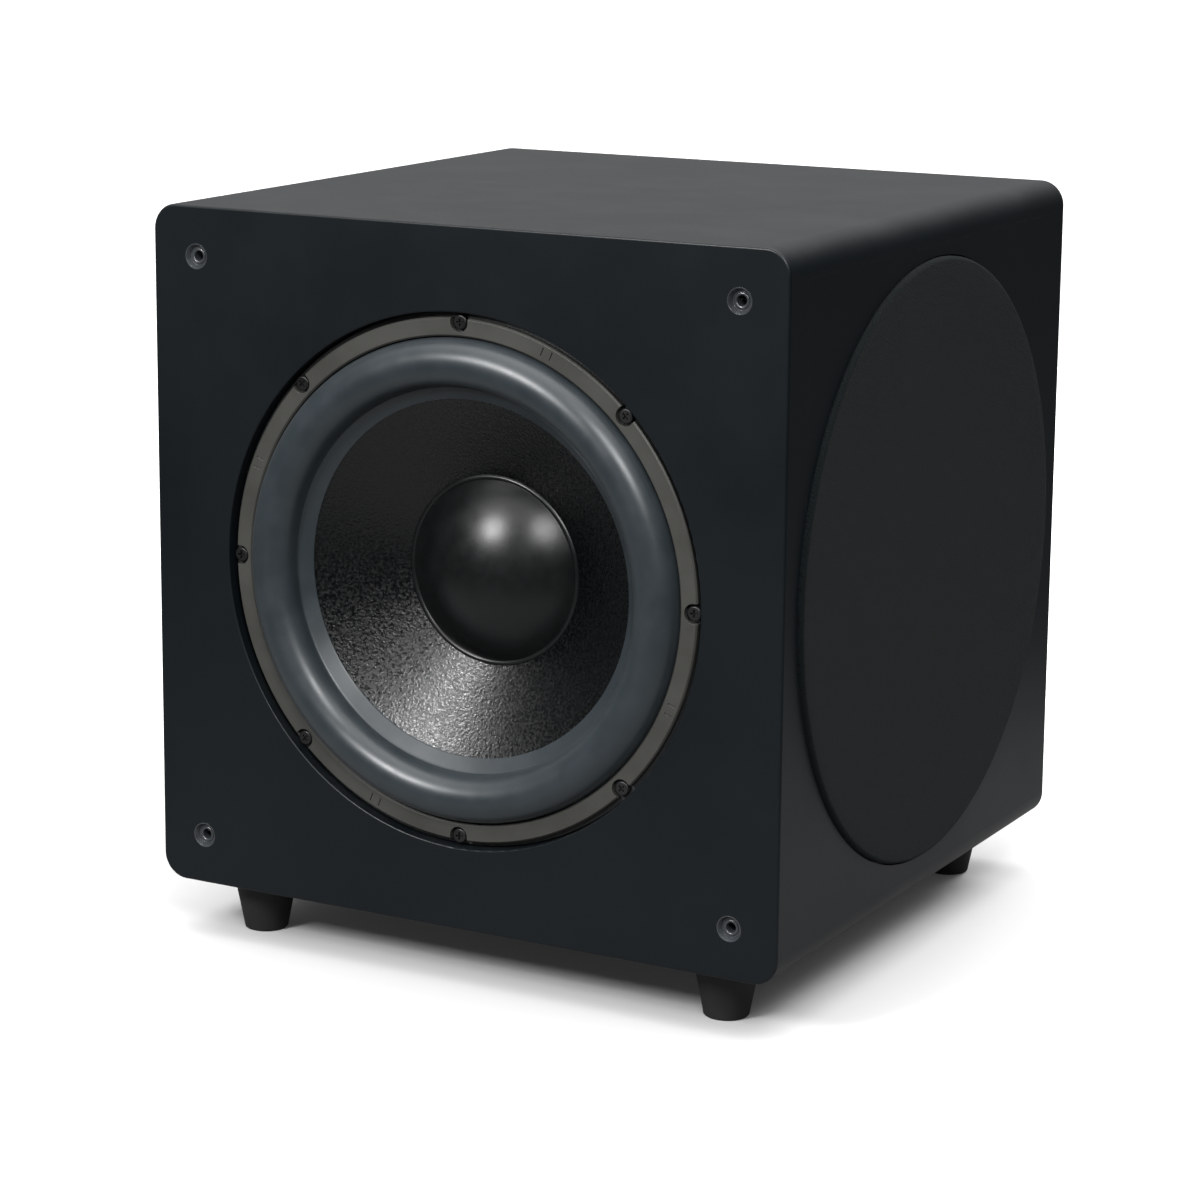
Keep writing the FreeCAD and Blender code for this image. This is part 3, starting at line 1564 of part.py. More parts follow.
# ---------------------------------------------------------------- the nodes
def build_cabinet():
    write("top_panel", [top_panel()])
    write("bottom_panel", [bottom_panel()])
    write("front_baffle", [front_baffle()])
    write("rear_panel", [rear_panel()])
    write("window_brace", [window_brace()])
    for face in ("left", "right"):
        write(face + "_side_panel", [side_panel(face)])
    for name, place in foot_places().items():
        write(name, [foot(place)])
    write("foot_screws", foot_screws())
    write("grille_sockets", grille_sockets())


def build_woofer():
    write("woofer_basket", [woofer_basket()])
    write("woofer_gasket", [woofer_gasket()])
    write("woofer_trim_ring", [woofer_trim_ring()])
    write("woofer_screws", woofer_screws())
    write("woofer_top_plate", [woofer_top_plate()])
    write("woofer_magnets", woofer_magnets())
    write("woofer_yoke", [woofer_yoke()])
    write("woofer_magnet_boot", [woofer_magnet_boot()])
    write("woofer_terminals", woofer_terminals())
    write("woofer_surround", [woofer_surround()])
    write("woofer_spider", [woofer_spider()])
    write("woofer_lead_wires", woofer_lead_wires())
    write("woofer_cone", [woofer_cone()])
    write("woofer_dust_cap", [woofer_dust_cap()])
    write("voice_coil", voice_coil())


def build_sides():
    for face in ("left", "right"):
        write(face + "_radiator_frame", [radiator_frame(face)])
        write(face + "_radiator_surround", [radiator_surround(face)])
        write(face + "_radiator_cone", [radiator_cone(face)])
        write(face + "_radiator_weight", radiator_weight(face))
        write(face + "_grille_frame", [grille_frame(face)])
        write(face + "_grille_cloth", [grille_cloth(face)])
    write("radiator_gaskets", radiator_gaskets())
    write("radiator_screws", radiator_screws())


def build_amplifier():
    write("amp_plate", [amp_plate()])
    write("amp_gasket", [amp_gasket()])
    write("amp_screws", amp_screws())
    write("amp_heat_sink", [amp_heat_sink()])
    write("amp_controls", controls())
    write("volume_knob", [knob(volume_x)])
    write("crossover_knob", [knob(crossover_x)])
    write("phase_lever", [lever(phase_x)])
    write("mode_lever", [lever(mode_x)])
    write("line_in_jacks", line_in_jacks())
    write("status_light", [status_light()])
    write("power_inlet", [power_inlet()])
    write("fuse_drawer", [fuse_drawer()])
    write("rocker_housing", [rocker_housing()])
    write("power_rocker", [power_rocker()])
    write("amp_circuit_board", amp_circuit_board())
    write("amp_transformer", amp_transformer())
    write("speaker_cable", [speaker_cable()])


os.makedirs("parts", exist_ok=True)
build_cabinet()
build_woofer()
build_sides()
build_amplifier()
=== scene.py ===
"""Powered subwoofer: finishes, cloth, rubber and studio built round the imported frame."""

from __future__ import annotations

import json
import logging
import math
from collections.abc import Callable, Sequence
from dataclasses import dataclass, field
from enum import Enum

import bmesh
import bpy
import numpy as np
from mathutils import Matrix, Vector


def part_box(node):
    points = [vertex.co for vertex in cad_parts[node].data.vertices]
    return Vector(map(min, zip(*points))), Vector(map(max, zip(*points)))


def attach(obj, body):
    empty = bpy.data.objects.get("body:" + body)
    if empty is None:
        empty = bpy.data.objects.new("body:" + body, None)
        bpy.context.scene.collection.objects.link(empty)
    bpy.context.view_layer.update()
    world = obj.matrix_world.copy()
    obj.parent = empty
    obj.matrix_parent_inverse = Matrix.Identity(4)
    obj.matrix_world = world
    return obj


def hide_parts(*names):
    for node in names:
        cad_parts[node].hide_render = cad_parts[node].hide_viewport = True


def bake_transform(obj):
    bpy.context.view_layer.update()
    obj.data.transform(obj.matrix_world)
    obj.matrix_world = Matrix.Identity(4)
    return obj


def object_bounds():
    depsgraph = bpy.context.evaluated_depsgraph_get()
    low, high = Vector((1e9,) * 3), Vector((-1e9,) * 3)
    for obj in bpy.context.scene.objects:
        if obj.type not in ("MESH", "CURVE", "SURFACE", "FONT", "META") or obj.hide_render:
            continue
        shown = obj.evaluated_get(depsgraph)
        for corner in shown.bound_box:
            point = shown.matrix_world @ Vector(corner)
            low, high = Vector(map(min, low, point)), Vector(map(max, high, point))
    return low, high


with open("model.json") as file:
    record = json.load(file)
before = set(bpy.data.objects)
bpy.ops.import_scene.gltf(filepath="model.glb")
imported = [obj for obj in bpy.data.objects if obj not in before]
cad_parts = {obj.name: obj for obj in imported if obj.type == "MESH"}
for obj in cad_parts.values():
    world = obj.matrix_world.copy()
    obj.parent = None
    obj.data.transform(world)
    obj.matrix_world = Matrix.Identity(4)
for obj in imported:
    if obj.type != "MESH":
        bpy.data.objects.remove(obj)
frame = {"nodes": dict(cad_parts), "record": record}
CAD_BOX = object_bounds()
LOG = logging.getLogger("subwoofer")
MM = 0.001
CREASE = 40.0
STRAND_CREASE = 60.0
FINE_STEPS = 288
COARSE_STEPS = 144
BEVEL_SAMPLES = 4
WHITE = (1.0, 1.0, 1.0, 1.0)
# painted shade: near-black colour put in the low places between the threads of a weave
GAP_SHADE_COLOUR = (0.0015, 0.0015, 0.0015, 1.0)
DUST_COLOUR = (0.32, 0.31, 0.29, 1.0)
DUST_ROUGHNESS = 0.4

Colour = tuple[float, float, float]
Profile = list[tuple[float, float]]


# ------------------------------------------------------------------ places and mesh tools
@dataclass(frozen=True)
class Face:
    """A cabinet face: x to the right and y up as one looks at it, z out of it."""

    origin: Vector
    turn: float

    def point(self, x: float, y: float, out: float) -> Vector:
        """Turn millimetres on this face into a place in the row frame.

        Args:
            x: Distance to the right of the face's middle.
            y: Height above the face's middle.
            out: Distance out of the face.

        Returns:
            The place in metres.
        """
        spot = Vector((x, -out, y)) * MM
        spot.rotate(Matrix.Rotation(math.radians(self.turn), 3, "Z"))
        return self.origin + spot


class Faces:
    """The four upright faces of the cabinet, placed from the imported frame."""

    def __init__(self) -> None:
        """Read the faces' places from the panels' boxes."""
        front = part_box("front_baffle")[0].y
        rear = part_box("rear_panel")[1].y
        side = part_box("right_side_panel")[1].x
        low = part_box("bottom_panel")[0].z
        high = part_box("top_panel")[1].z
        middle = Vector((0, (front + rear) / 2, (low + high) / 2))
        self.front = Face(Vector((0, front, middle.z)), 0)
        self.right = Face(Vector((side, middle.y, middle.z)), 90)
        self.rear = Face(Vector((0, rear, middle.z)), 180)
        self.left = Face(Vector((-side, middle.y, middle.z)), 270)


def arc(radius: float, out: float, size: float, start: float, end: float, steps: int) -> Profile:
    """Points of a round bend in a turned profile.

    Args:
        radius: Distance of the bend's centre from the axis.
        out: Height of the bend's centre.
        size: Radius of the bend.
        start: First angle in degrees, from the outward direction.
        end: Last angle in degrees.
        steps: Number of steps between the two.

    Returns:
        The points from the first angle to the last.
    """
    points = []
    for step in range(steps + 1):
        angle = math.radians(start + (end - start) * step / steps)
        points.append((radius + size * math.cos(angle), out + size * math.sin(angle)))
    return points


def finished_mesh(
    name: str, verts: Sequence[Vector], faces: Sequence[Sequence[int]], crease: float = CREASE,
) -> bpy.types.Object:
    """Make a clean smooth-shaded object.

    Args:
        name: Name of the piece.
        verts: Places of its corners.
        faces: Corner numbers of its faces.
        crease: Angle in degrees above which an edge stays sharp.

    Returns:
        The new object.
    """
    mesh = bpy.data.meshes.new(name)
    mesh.from_pydata([tuple(v) for v in verts], [], [tuple(f) for f in faces])
    work = bmesh.new()
    work.from_mesh(mesh)
    bmesh.ops.remove_doubles(work, verts=work.verts, dist=1e-6)
    bmesh.ops.recalc_face_normals(work, faces=work.faces)
    work.to_mesh(mesh)
    work.free()
    mesh.shade_smooth()
    mesh.set_sharp_from_angle(angle=math.radians(crease))
    piece = bpy.data.objects.new(name, mesh)
    bpy.context.scene.collection.objects.link(piece)
    return piece


def turned(name: str, profile: Profile, face: Face, closed: bool = True, steps: int = 240) -> bpy.types.Object:
    """Revolve a profile about the middle of a face.

    Args:
        name: Name of the piece.
        profile: (radius, out) points in millimetres.
        face: Face that the piece sits in.
        closed: Whether the last point joins the first.
        steps: Number of steps round the axis.

    Returns:
        The new object.
    """
    verts = []
    for radius, out in profile:
        for step in range(steps):
            angle = 2 * math.pi * step / steps
            verts.append(face.point(radius * math.cos(angle), radius * math.sin(angle), out))
    return finished_mesh(name, verts, band_faces(len(profile), steps, closed))


def band_faces(rows: int, steps: int, closed: bool) -> list[tuple[int, int, int, int]]:
    """Quads between neighbouring closed loops of corners.

    Args:
        rows: Number of loops.
        steps: Number of corners in each loop.
        closed: Whether the last loop joins the first.

    Returns:
        Corner numbers of each quad.
    """
    faces = []
    for row in range(rows if closed else rows - 1):
        after = (row + 1) % rows
        for step in range(steps):
            beside = (step + 1) % steps
            near, far = row * steps, after * steps
            faces.append((near + step, near + beside, far + beside, far + step))
    return faces


def rounded_rectangle(width: float, height: float, corner: float, steps: int = 8) -> Profile:
    """Points round a rectangle with round corners.

    Args:
        width: Width of the rectangle.
        height: Height of the rectangle.
        corner: Radius of its corners.
        steps: Number of steps in each corner.

    Returns:
        The points, anticlockwise.
    """
    points: Profile = []
    for index, (side, up) in enumerate(((1, 1), (-1, 1), (-1, -1), (1, -1))):
        start = 90 * index
        points += arc(side * (width / 2 - corner), up * (height / 2 - corner), corner, start, start + 90, steps)
    return points


def hold_between(piece: bpy.types.Object, share: Callable[[Vector], float]) -> None:
    """Bake a piece's place into its corners and work out how far each corner would follow a moving body; these
    shares are not put to use.

    Args:
        piece: Mesh whose corners are final.
        share: Gives how far a corner follows the moving body, from 0 to 1.
    """
    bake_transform(piece)
    shares = [min(1.0, max(0.0, share(v.co))) for v in piece.data.vertices]


def radial_share(face: Face, held: float, moved: float) -> Callable[[Vector], float]:
    """Share of a radiating body's motion that a ring of rubber or cloth follows.

    Args:
        face: Face that the ring sits in.
        held: Radius in millimetres where the ring is held.
        moved: Radius in millimetres where it moves with the body.

    Returns:
        A function from a place to its share.
    """
    across = Vector((math.cos(math.radians(face.turn)), math.sin(math.radians(face.turn)), 0))

    def share(place: Vector) -> float:
        """Share at one place, from 0 to 1."""
        offset = place - face.origin
        radius = math.hypot(offset.dot(across), offset.z) / MM
        return (held - radius) / (held - moved)

    return share


# ------------------------------------------------------------------ shader groups
class Nodes:
    """Short ways to add and join the nodes of one tree."""

    def __init__(self, tree: bpy.types.NodeTree) -> None:
        """Work on one node tree."""
        self.tree = tree

    def add(self, kind: str, inputs: dict[str | int, object] | None = None, **settings: object) -> bpy.types.Node:
        """Add a node.

        Args:
            kind: Blender's name of the node type.
            inputs: Values or sockets for its inputs, by name or number.
            settings: Properties of the node.

        Returns:
            The new node.
        """
        node = self.tree.nodes.new(kind)
        for key, value in settings.items():
            setattr(node, key, value)
        for key, value in (inputs or {}).items():
            if isinstance(value, bpy.types.NodeSocket):
                self.tree.links.new(value, node.inputs[key])
            else:
                node.inputs[key].default_value = value
        return node

    def math(self, operation: str, *values: object) -> bpy.types.NodeSocket:
        """Result of a Math node on up to three values or sockets."""
        return self.add("ShaderNodeMath", dict(enumerate(values)), operation=operation).outputs[0]

    def mix(self, factor: object, first: object, second: object) -> bpy.types.NodeSocket:
        """Colour between two colours or sockets."""
        inputs = {0: factor, 6: first, 7: second}
        return self.add("ShaderNodeMix", inputs, data_type="RGBA").outputs[2]

    def span(self, value: object, low: float, high: float) -> bpy.types.NodeSocket:
        """A value smoothed from 0 at low to 1 at high."""
        inputs = {"Value": value, "From Min": low, "From Max": high}
        node = self.add("ShaderNodeMapRange", inputs, interpolation_type="SMOOTHSTEP")
        return node.outputs["Result"]

    def place(self) -> bpy.types.NodeSocket:
        """Place on the piece, in metres."""
        return self.add("ShaderNodeTexCoord").outputs["Object"]

    def noise(self, where: object, scale: object, detail: float = 2.0, rough: float = 0.5) -> bpy.types.NodeSocket:
        """Noise from 0 to 1.

        Args:
            where: Place to read it at.
            scale: Number of waves in a metre.
            detail: Number of finer layers.
            rough: Strength of the finer layers.

        Returns:
            The noise's value.
        """
        inputs = {"Vector": where, "Scale": scale, "Detail": detail, "Roughness": rough}
        return self.add("ShaderNodeTexNoise", inputs).outputs[0]


class Group(Enum):
    """Effects that several finishes share."""

    MOTTLE = "mottle"
    EDGE_WEAR = "edge_wear"
    DUST = "dust"
    GRAIN = "grain"
    PEEL = "peel"
    WEAVE = "weave"
    FIBRE = "fibre"
    BRUSHED = "brushed"
    PORES = "pores"


class GroupShelf:
    """Builds each shared effect once and hands it out."""

    def __init__(self) -> None:
        """Start with no effect built."""
        self.made: dict[Group, bpy.types.ShaderNodeTree] = {}

    def get(self, group: Group) -> bpy.types.ShaderNodeTree:
        """Give the tree of one effect, building it the first time."""
        if group not in self.made:
            self.made[group] = getattr(self, "build_" + group.value)()
        return self.made[group]

    def start(
        self, name: str, inputs: dict[str, object], outputs: dict[str, str],
    ) -> tuple[Nodes, bpy.types.Node, bpy.types.Node]:
        """Make a tree with named sockets.

        Args:
            name: Name of the effect.
            inputs: Starting value of each input; a tuple makes a colour.
            outputs: Kind of each output socket.

        Returns:
            The node tools, the group's inputs and its outputs.
        """
        tree = bpy.data.node_groups.new(name, "ShaderNodeTree")
        for label, value in inputs.items():
            kind = "NodeSocketColor" if isinstance(value, tuple) else "NodeSocketFloat"
            socket = tree.interface.new_socket(label, in_out="INPUT", socket_type=kind)
            socket.default_value = value
        for label, kind in outputs.items():
            tree.interface.new_socket(label, in_out="OUTPUT", socket_type=kind)
        nodes = Nodes(tree)
        return nodes, nodes.add("NodeGroupInput"), nodes.add("NodeGroupOutput")

    def height_group(
        self, name: str, inputs: dict[str, object], height: Callable[[Nodes, bpy.types.Node], object],
    ) -> bpy.types.ShaderNodeTree:
        """Make an effect that puts out one height.

        Args:
            name: Name of the effect.
            inputs: Starting value of each input.
            height: Builds the height from the tools and the group's inputs.

        Returns:
            The tree.
        """
        nodes, given, result = self.start(name, inputs, {"Height": "NodeSocketFloat"})
        nodes.tree.links.new(height(nodes, given), result.inputs[0])
        return nodes.tree

    def build_mottle(self) -> bpy.types.ShaderNodeTree:
        """Slow and fine change between two colours."""
        inputs = {"Scale": 40.0, "Light": WHITE, "Dark": WHITE}
        outputs = {"Colour": "NodeSocketColor", "Mask": "NodeSocketFloat"}
        nodes, given, result = self.start("mottle", inputs, outputs)
        slow = nodes.noise(nodes.place(), given.outputs["Scale"], 4.0, 0.6)
        mask = nodes.span(slow, 0.3, 0.7)
        colour = nodes.mix(mask, given.outputs["Dark"], given.outputs["Light"])
        nodes.tree.links.new(colour, result.inputs["Colour"])
        nodes.tree.links.new(mask, result.inputs["Mask"])
        return nodes.tree

    def build_edge_wear(self) -> bpy.types.ShaderNodeTree:
        """Mask of rubbed edges, broken up by noise."""
        inputs = {"Width": 0.0006, "Amount": 0.5}
        nodes, given, result = self.start("edge_wear", inputs, {"Mask": "NodeSocketFloat"})
        bevel = nodes.add("ShaderNodeBevel", {"Radius": given.outputs["Width"]}, samples=BEVEL_SAMPLES)
        true = nodes.add("ShaderNodeNewGeometry").outputs["Normal"]
        pair = {0: bevel.outputs[0], 1: true}
        agree = nodes.add("ShaderNodeVectorMath", pair, operation="DOT_PRODUCT").outputs["Value"]
        edge = nodes.span(nodes.math("SUBTRACT", 1.0, agree), 0.05, 0.18)
        broken = nodes.span(nodes.noise(nodes.place(), 160.0, 5.0, 0.65), 0.42, 0.62)
        mask = nodes.math("MULTIPLY", nodes.math("MULTIPLY", edge, broken), given.outputs["Amount"])
        nodes.tree.links.new(mask, result.inputs[0])
        return nodes.tree

    def build_dust(self) -> bpy.types.ShaderNodeTree:
        """Mask of fine dust on faces that look up."""
        nodes, given, result = self.start("dust", {"Amount": 0.2}, {"Mask": "NodeSocketFloat"})
        normal = nodes.add("ShaderNodeNewGeometry").outputs["Normal"]
        up = nodes.span(nodes.add("ShaderNodeSeparateXYZ", {0: normal}).outputs["Z"], 0.1, 0.9)
        where = nodes.place()
        cloud = nodes.span(nodes.noise(where, 18.0, 5.0, 0.7), 0.35, 0.75)
        specks = nodes.span(nodes.noise(where, 900.0, 2.0), 0.62, 0.72)
        speckled = nodes.math("ADD", nodes.math("MULTIPLY", cloud, 0.5), specks)
        mask = nodes.math("MULTIPLY", nodes.math("MULTIPLY", up, speckled), given.outputs["Amount"])
        nodes.tree.links.new(mask, result.inputs[0])
        return nodes.tree

    def build_grain(self) -> bpy.types.ShaderNodeTree:
        """Height of a moulded or cast skin."""

        def height(nodes: Nodes, given: bpy.types.Node) -> object:
            """Join coarse and fine grain."""
            where = nodes.place()
            coarse = nodes.noise(where, given.outputs["Scale"], 3.0, 0.6)
            fine = nodes.noise(where, nodes.math("MULTIPLY", given.outputs["Scale"], 3.7), 1.0)
            return nodes.math("ADD", coarse, nodes.math("MULTIPLY", fine, 0.4))

        return self.height_group("grain", {"Scale": 900.0}, height)

    def build_peel(self) -> bpy.types.ShaderNodeTree:
        """Height of sprayed lacquer."""

        def height(nodes: Nodes, given: bpy.types.Node) -> object:
            """Join slow waves and the fine peel."""
            where = nodes.place()
            wave = nodes.noise(where, nodes.math("DIVIDE", given.outputs["Scale"], 14.0), 1.0)
            peel = nodes.noise(where, given.outputs["Scale"], 2.0)
            return nodes.math("ADD", nodes.math("MULTIPLY", wave, 2.0), peel)

        return self.height_group("peel", {"Scale": 700.0}, height)

    def build_weave(self) -> bpy.types.ShaderNodeTree:
        """Height and painted gap shade of a plain weave that lies in an upright side face: its low places between
        threads are marked for painted shade.
        """
        outputs = {"Height": "NodeSocketFloat", "GapShade": "NodeSocketFloat"}
        nodes, given, result = self.start("weave", {"Pitch": 0.0008}, outputs)
        parts = nodes.add("ShaderNodeSeparateXYZ", {0: nodes.place()})
        warp = nodes.math("DIVIDE", parts.outputs["Y"], given.outputs["Pitch"])
        weft = nodes.math("DIVIDE", parts.outputs["Z"], given.outputs["Pitch"])
        warp_round = nodes.math("ABSOLUTE", nodes.math("SINE", nodes.math("MULTIPLY", warp, math.pi)))
        weft_round = nodes.math("ABSOLUTE", nodes.math("SINE", nodes.math("MULTIPLY", weft, math.pi)))
        cells = nodes.math("ADD", nodes.math("FLOOR", warp), nodes.math("FLOOR", weft))
        over = nodes.math("ABSOLUTE", nodes.math("MODULO", cells, 2.0))
        pressed = nodes.math("ADD", 0.6, nodes.math("MULTIPLY", weft_round, 0.4))
        warp_top = nodes.math("MULTIPLY", warp_round, pressed)
        pressed = nodes.math("ADD", 0.6, nodes.math("MULTIPLY", warp_round, 0.4))
        weft_top = nodes.math("MULTIPLY", weft_round, pressed)
        first = nodes.math("MULTIPLY", warp_top, over)
        second = nodes.math("MULTIPLY", weft_top, nodes.math("SUBTRACT", 1.0, over))
        height = nodes.math("ADD", first, second)
        nodes.tree.links.new(height, result.inputs["Height"])
        # painted shade: the lowest places of the weave, between the threads, are marked for darkening
        nodes.tree.links.new(nodes.span(height, 0.5, 0.1), result.inputs["GapShade"])
        return nodes.tree

    def build_fibre(self) -> bpy.types.ShaderNodeTree:
        """Height of pressed paper fibre."""

        def height(nodes: Nodes, given: bpy.types.Node) -> object:
            """Join soft pulp and the fine strands on it."""
            where = nodes.place()
            pulp = nodes.noise(where, given.outputs["Scale"], 1.5, 0.5)
            strands = nodes.noise(where, nodes.math("MULTIPLY", given.outputs["Scale"], 2.6), 1.0)
            return nodes.math("ADD", pulp, nodes.math("MULTIPLY", strands, 0.45))

        return self.height_group("fibre", {"Scale": 600.0}, height)

    def build_brushed(self) -> bpy.types.ShaderNodeTree:
        """Height of fine upright drawn lines."""

        def height(nodes: Nodes, given: bpy.types.Node) -> object:
            """Stretch noise along the height."""
            scale = {0: nodes.place(), 1: (1.0, 1.0, 0.02)}
            where = nodes.add("ShaderNodeVectorMath", scale, operation="MULTIPLY").outputs[0]
            return nodes.noise(where, given.outputs["Scale"], 3.0, 0.6)

        return self.height_group("brushed", {"Scale": 2500.0}, height)

    def build_pores(self) -> bpy.types.ShaderNodeTree:
        """Height of open foam cells."""

        def height(nodes: Nodes, given: bpy.types.Node) -> object:
            """Round pits at random places."""
            inputs = {"Vector": nodes.place(), "Scale": given.outputs["Scale"]}
            return nodes.add("ShaderNodeTexVoronoi", inputs, feature="SMOOTH_F1").outputs[0]

        return self.height_group("pores", {"Scale": 1200.0}, height)


# ------------------------------------------------------------------ finishes
@dataclass(frozen=True)
class Finish:
    """One finish: its colours, gloss and relief."""

    light: Colour
    dark: Colour
    roughness: float = 0.5
    spread: float = 0.08
    metallic: float = 0.0
    specular: float = 0.5
    coat: float = 0.0
    coat_roughness: float = 0.1
    sheen: float = 0.0
    patches: float = 30.0
    relief: Group = Group.GRAIN
    relief_scale: float = 900.0
    relief_depth: float = 0.00003
    wear: float = 0.0
    wear_colour: Colour = (0.2, 0.2, 0.2)
    wear_width: float = 0.0006
    soft_edge: float = 0.0
    dust: float = 0.0

    def build(self, name: str, shelf: GroupShelf) -> bpy.types.Material:
        """Make the material.

        Args:
            name: Name of the finish.
            shelf: Where shared effects come from.

        Returns:
            The material.
        """
        material = bpy.data.materials.new(name)
        material.use_nodes = True
        nodes = Nodes(material.node_tree)
        shader = material.node_tree.nodes["Principled BSDF"]
        self.set_constants(shader)
        join = material.node_tree.links.new
        tones = {"Scale": self.patches, "Light": (*self.light, 1.0), "Dark": (*self.dark, 1.0)}
        mottle = self.effect(nodes, shelf, Group.MOTTLE, tones)
        colour = mottle.outputs["Colour"]
        rough = nodes.math("MULTIPLY_ADD", mottle.outputs["Mask"], self.spread, self.roughness)
        if self.relief is Group.WEAVE:
            relief = self.effect(nodes, shelf, Group.WEAVE, {"Pitch": self.relief_scale})
            # painted shade: the gaps between threads are darkened towards the gap colour
            colour = nodes.mix(relief.outputs["GapShade"], colour, GAP_SHADE_COLOUR)
        else:
            relief = self.effect(nodes, shelf, self.relief, {"Scale": self.relief_scale})
        if self.wear:
            amounts = {"Width": self.wear_width, "Amount": self.wear}
            worn = self.effect(nodes, shelf, Group.EDGE_WEAR, amounts)
            colour = nodes.mix(worn.outputs[0], colour, (*self.wear_colour, 1.0))
        if self.dust:
            dusty = self.effect(nodes, shelf, Group.DUST, {"Amount": self.dust}).outputs[0]
            colour = nodes.mix(dusty, colour, DUST_COLOUR)
            rough = nodes.math("MULTIPLY_ADD", dusty, DUST_ROUGHNESS, rough)
        bump = nodes.add("ShaderNodeBump", {"Height": relief.outputs["Height"], "Distance": self.relief_depth})
        if self.soft_edge:
            bevel = nodes.add("ShaderNodeBevel", {"Radius": self.soft_edge}, samples=BEVEL_SAMPLES)
            join(bevel.outputs[0], bump.inputs["Normal"])
        join(colour, shader.inputs["Base Color"])
        join(rough, shader.inputs["Roughness"])
        join(bump.outputs[0], shader.inputs["Normal"])
        return material

    def set_constants(self, shader: bpy.types.Node) -> None:
        """Set what is the same all over on the shader's own sockets."""
        shader.inputs["Metallic"].default_value = self.metallic
        shader.inputs["Specular IOR Level"].default_value = self.specular
        shader.inputs["Coat Weight"].default_value = self.coat
        shader.inputs["Coat Roughness"].default_value = self.coat_roughness
        shader.inputs["Sheen Weight"].default_value = self.sheen

    def effect(self, nodes: Nodes, shelf: GroupShelf, group: Group, values: dict[str, object]) -> bpy.types.Node:
        """Place a shared effect in the material with this finish's values.

        Args:
            nodes: Tools for the material's tree.
            shelf: Where shared effects come from.
            group: Which effect.
            values: Values of its inputs.

        Returns:
            The placed group node.
        """
        node = nodes.add("ShaderNodeGroup", node_tree=shelf.get(group))
        for label, value in values.items():
            node.inputs[label].default_value = value
        return node


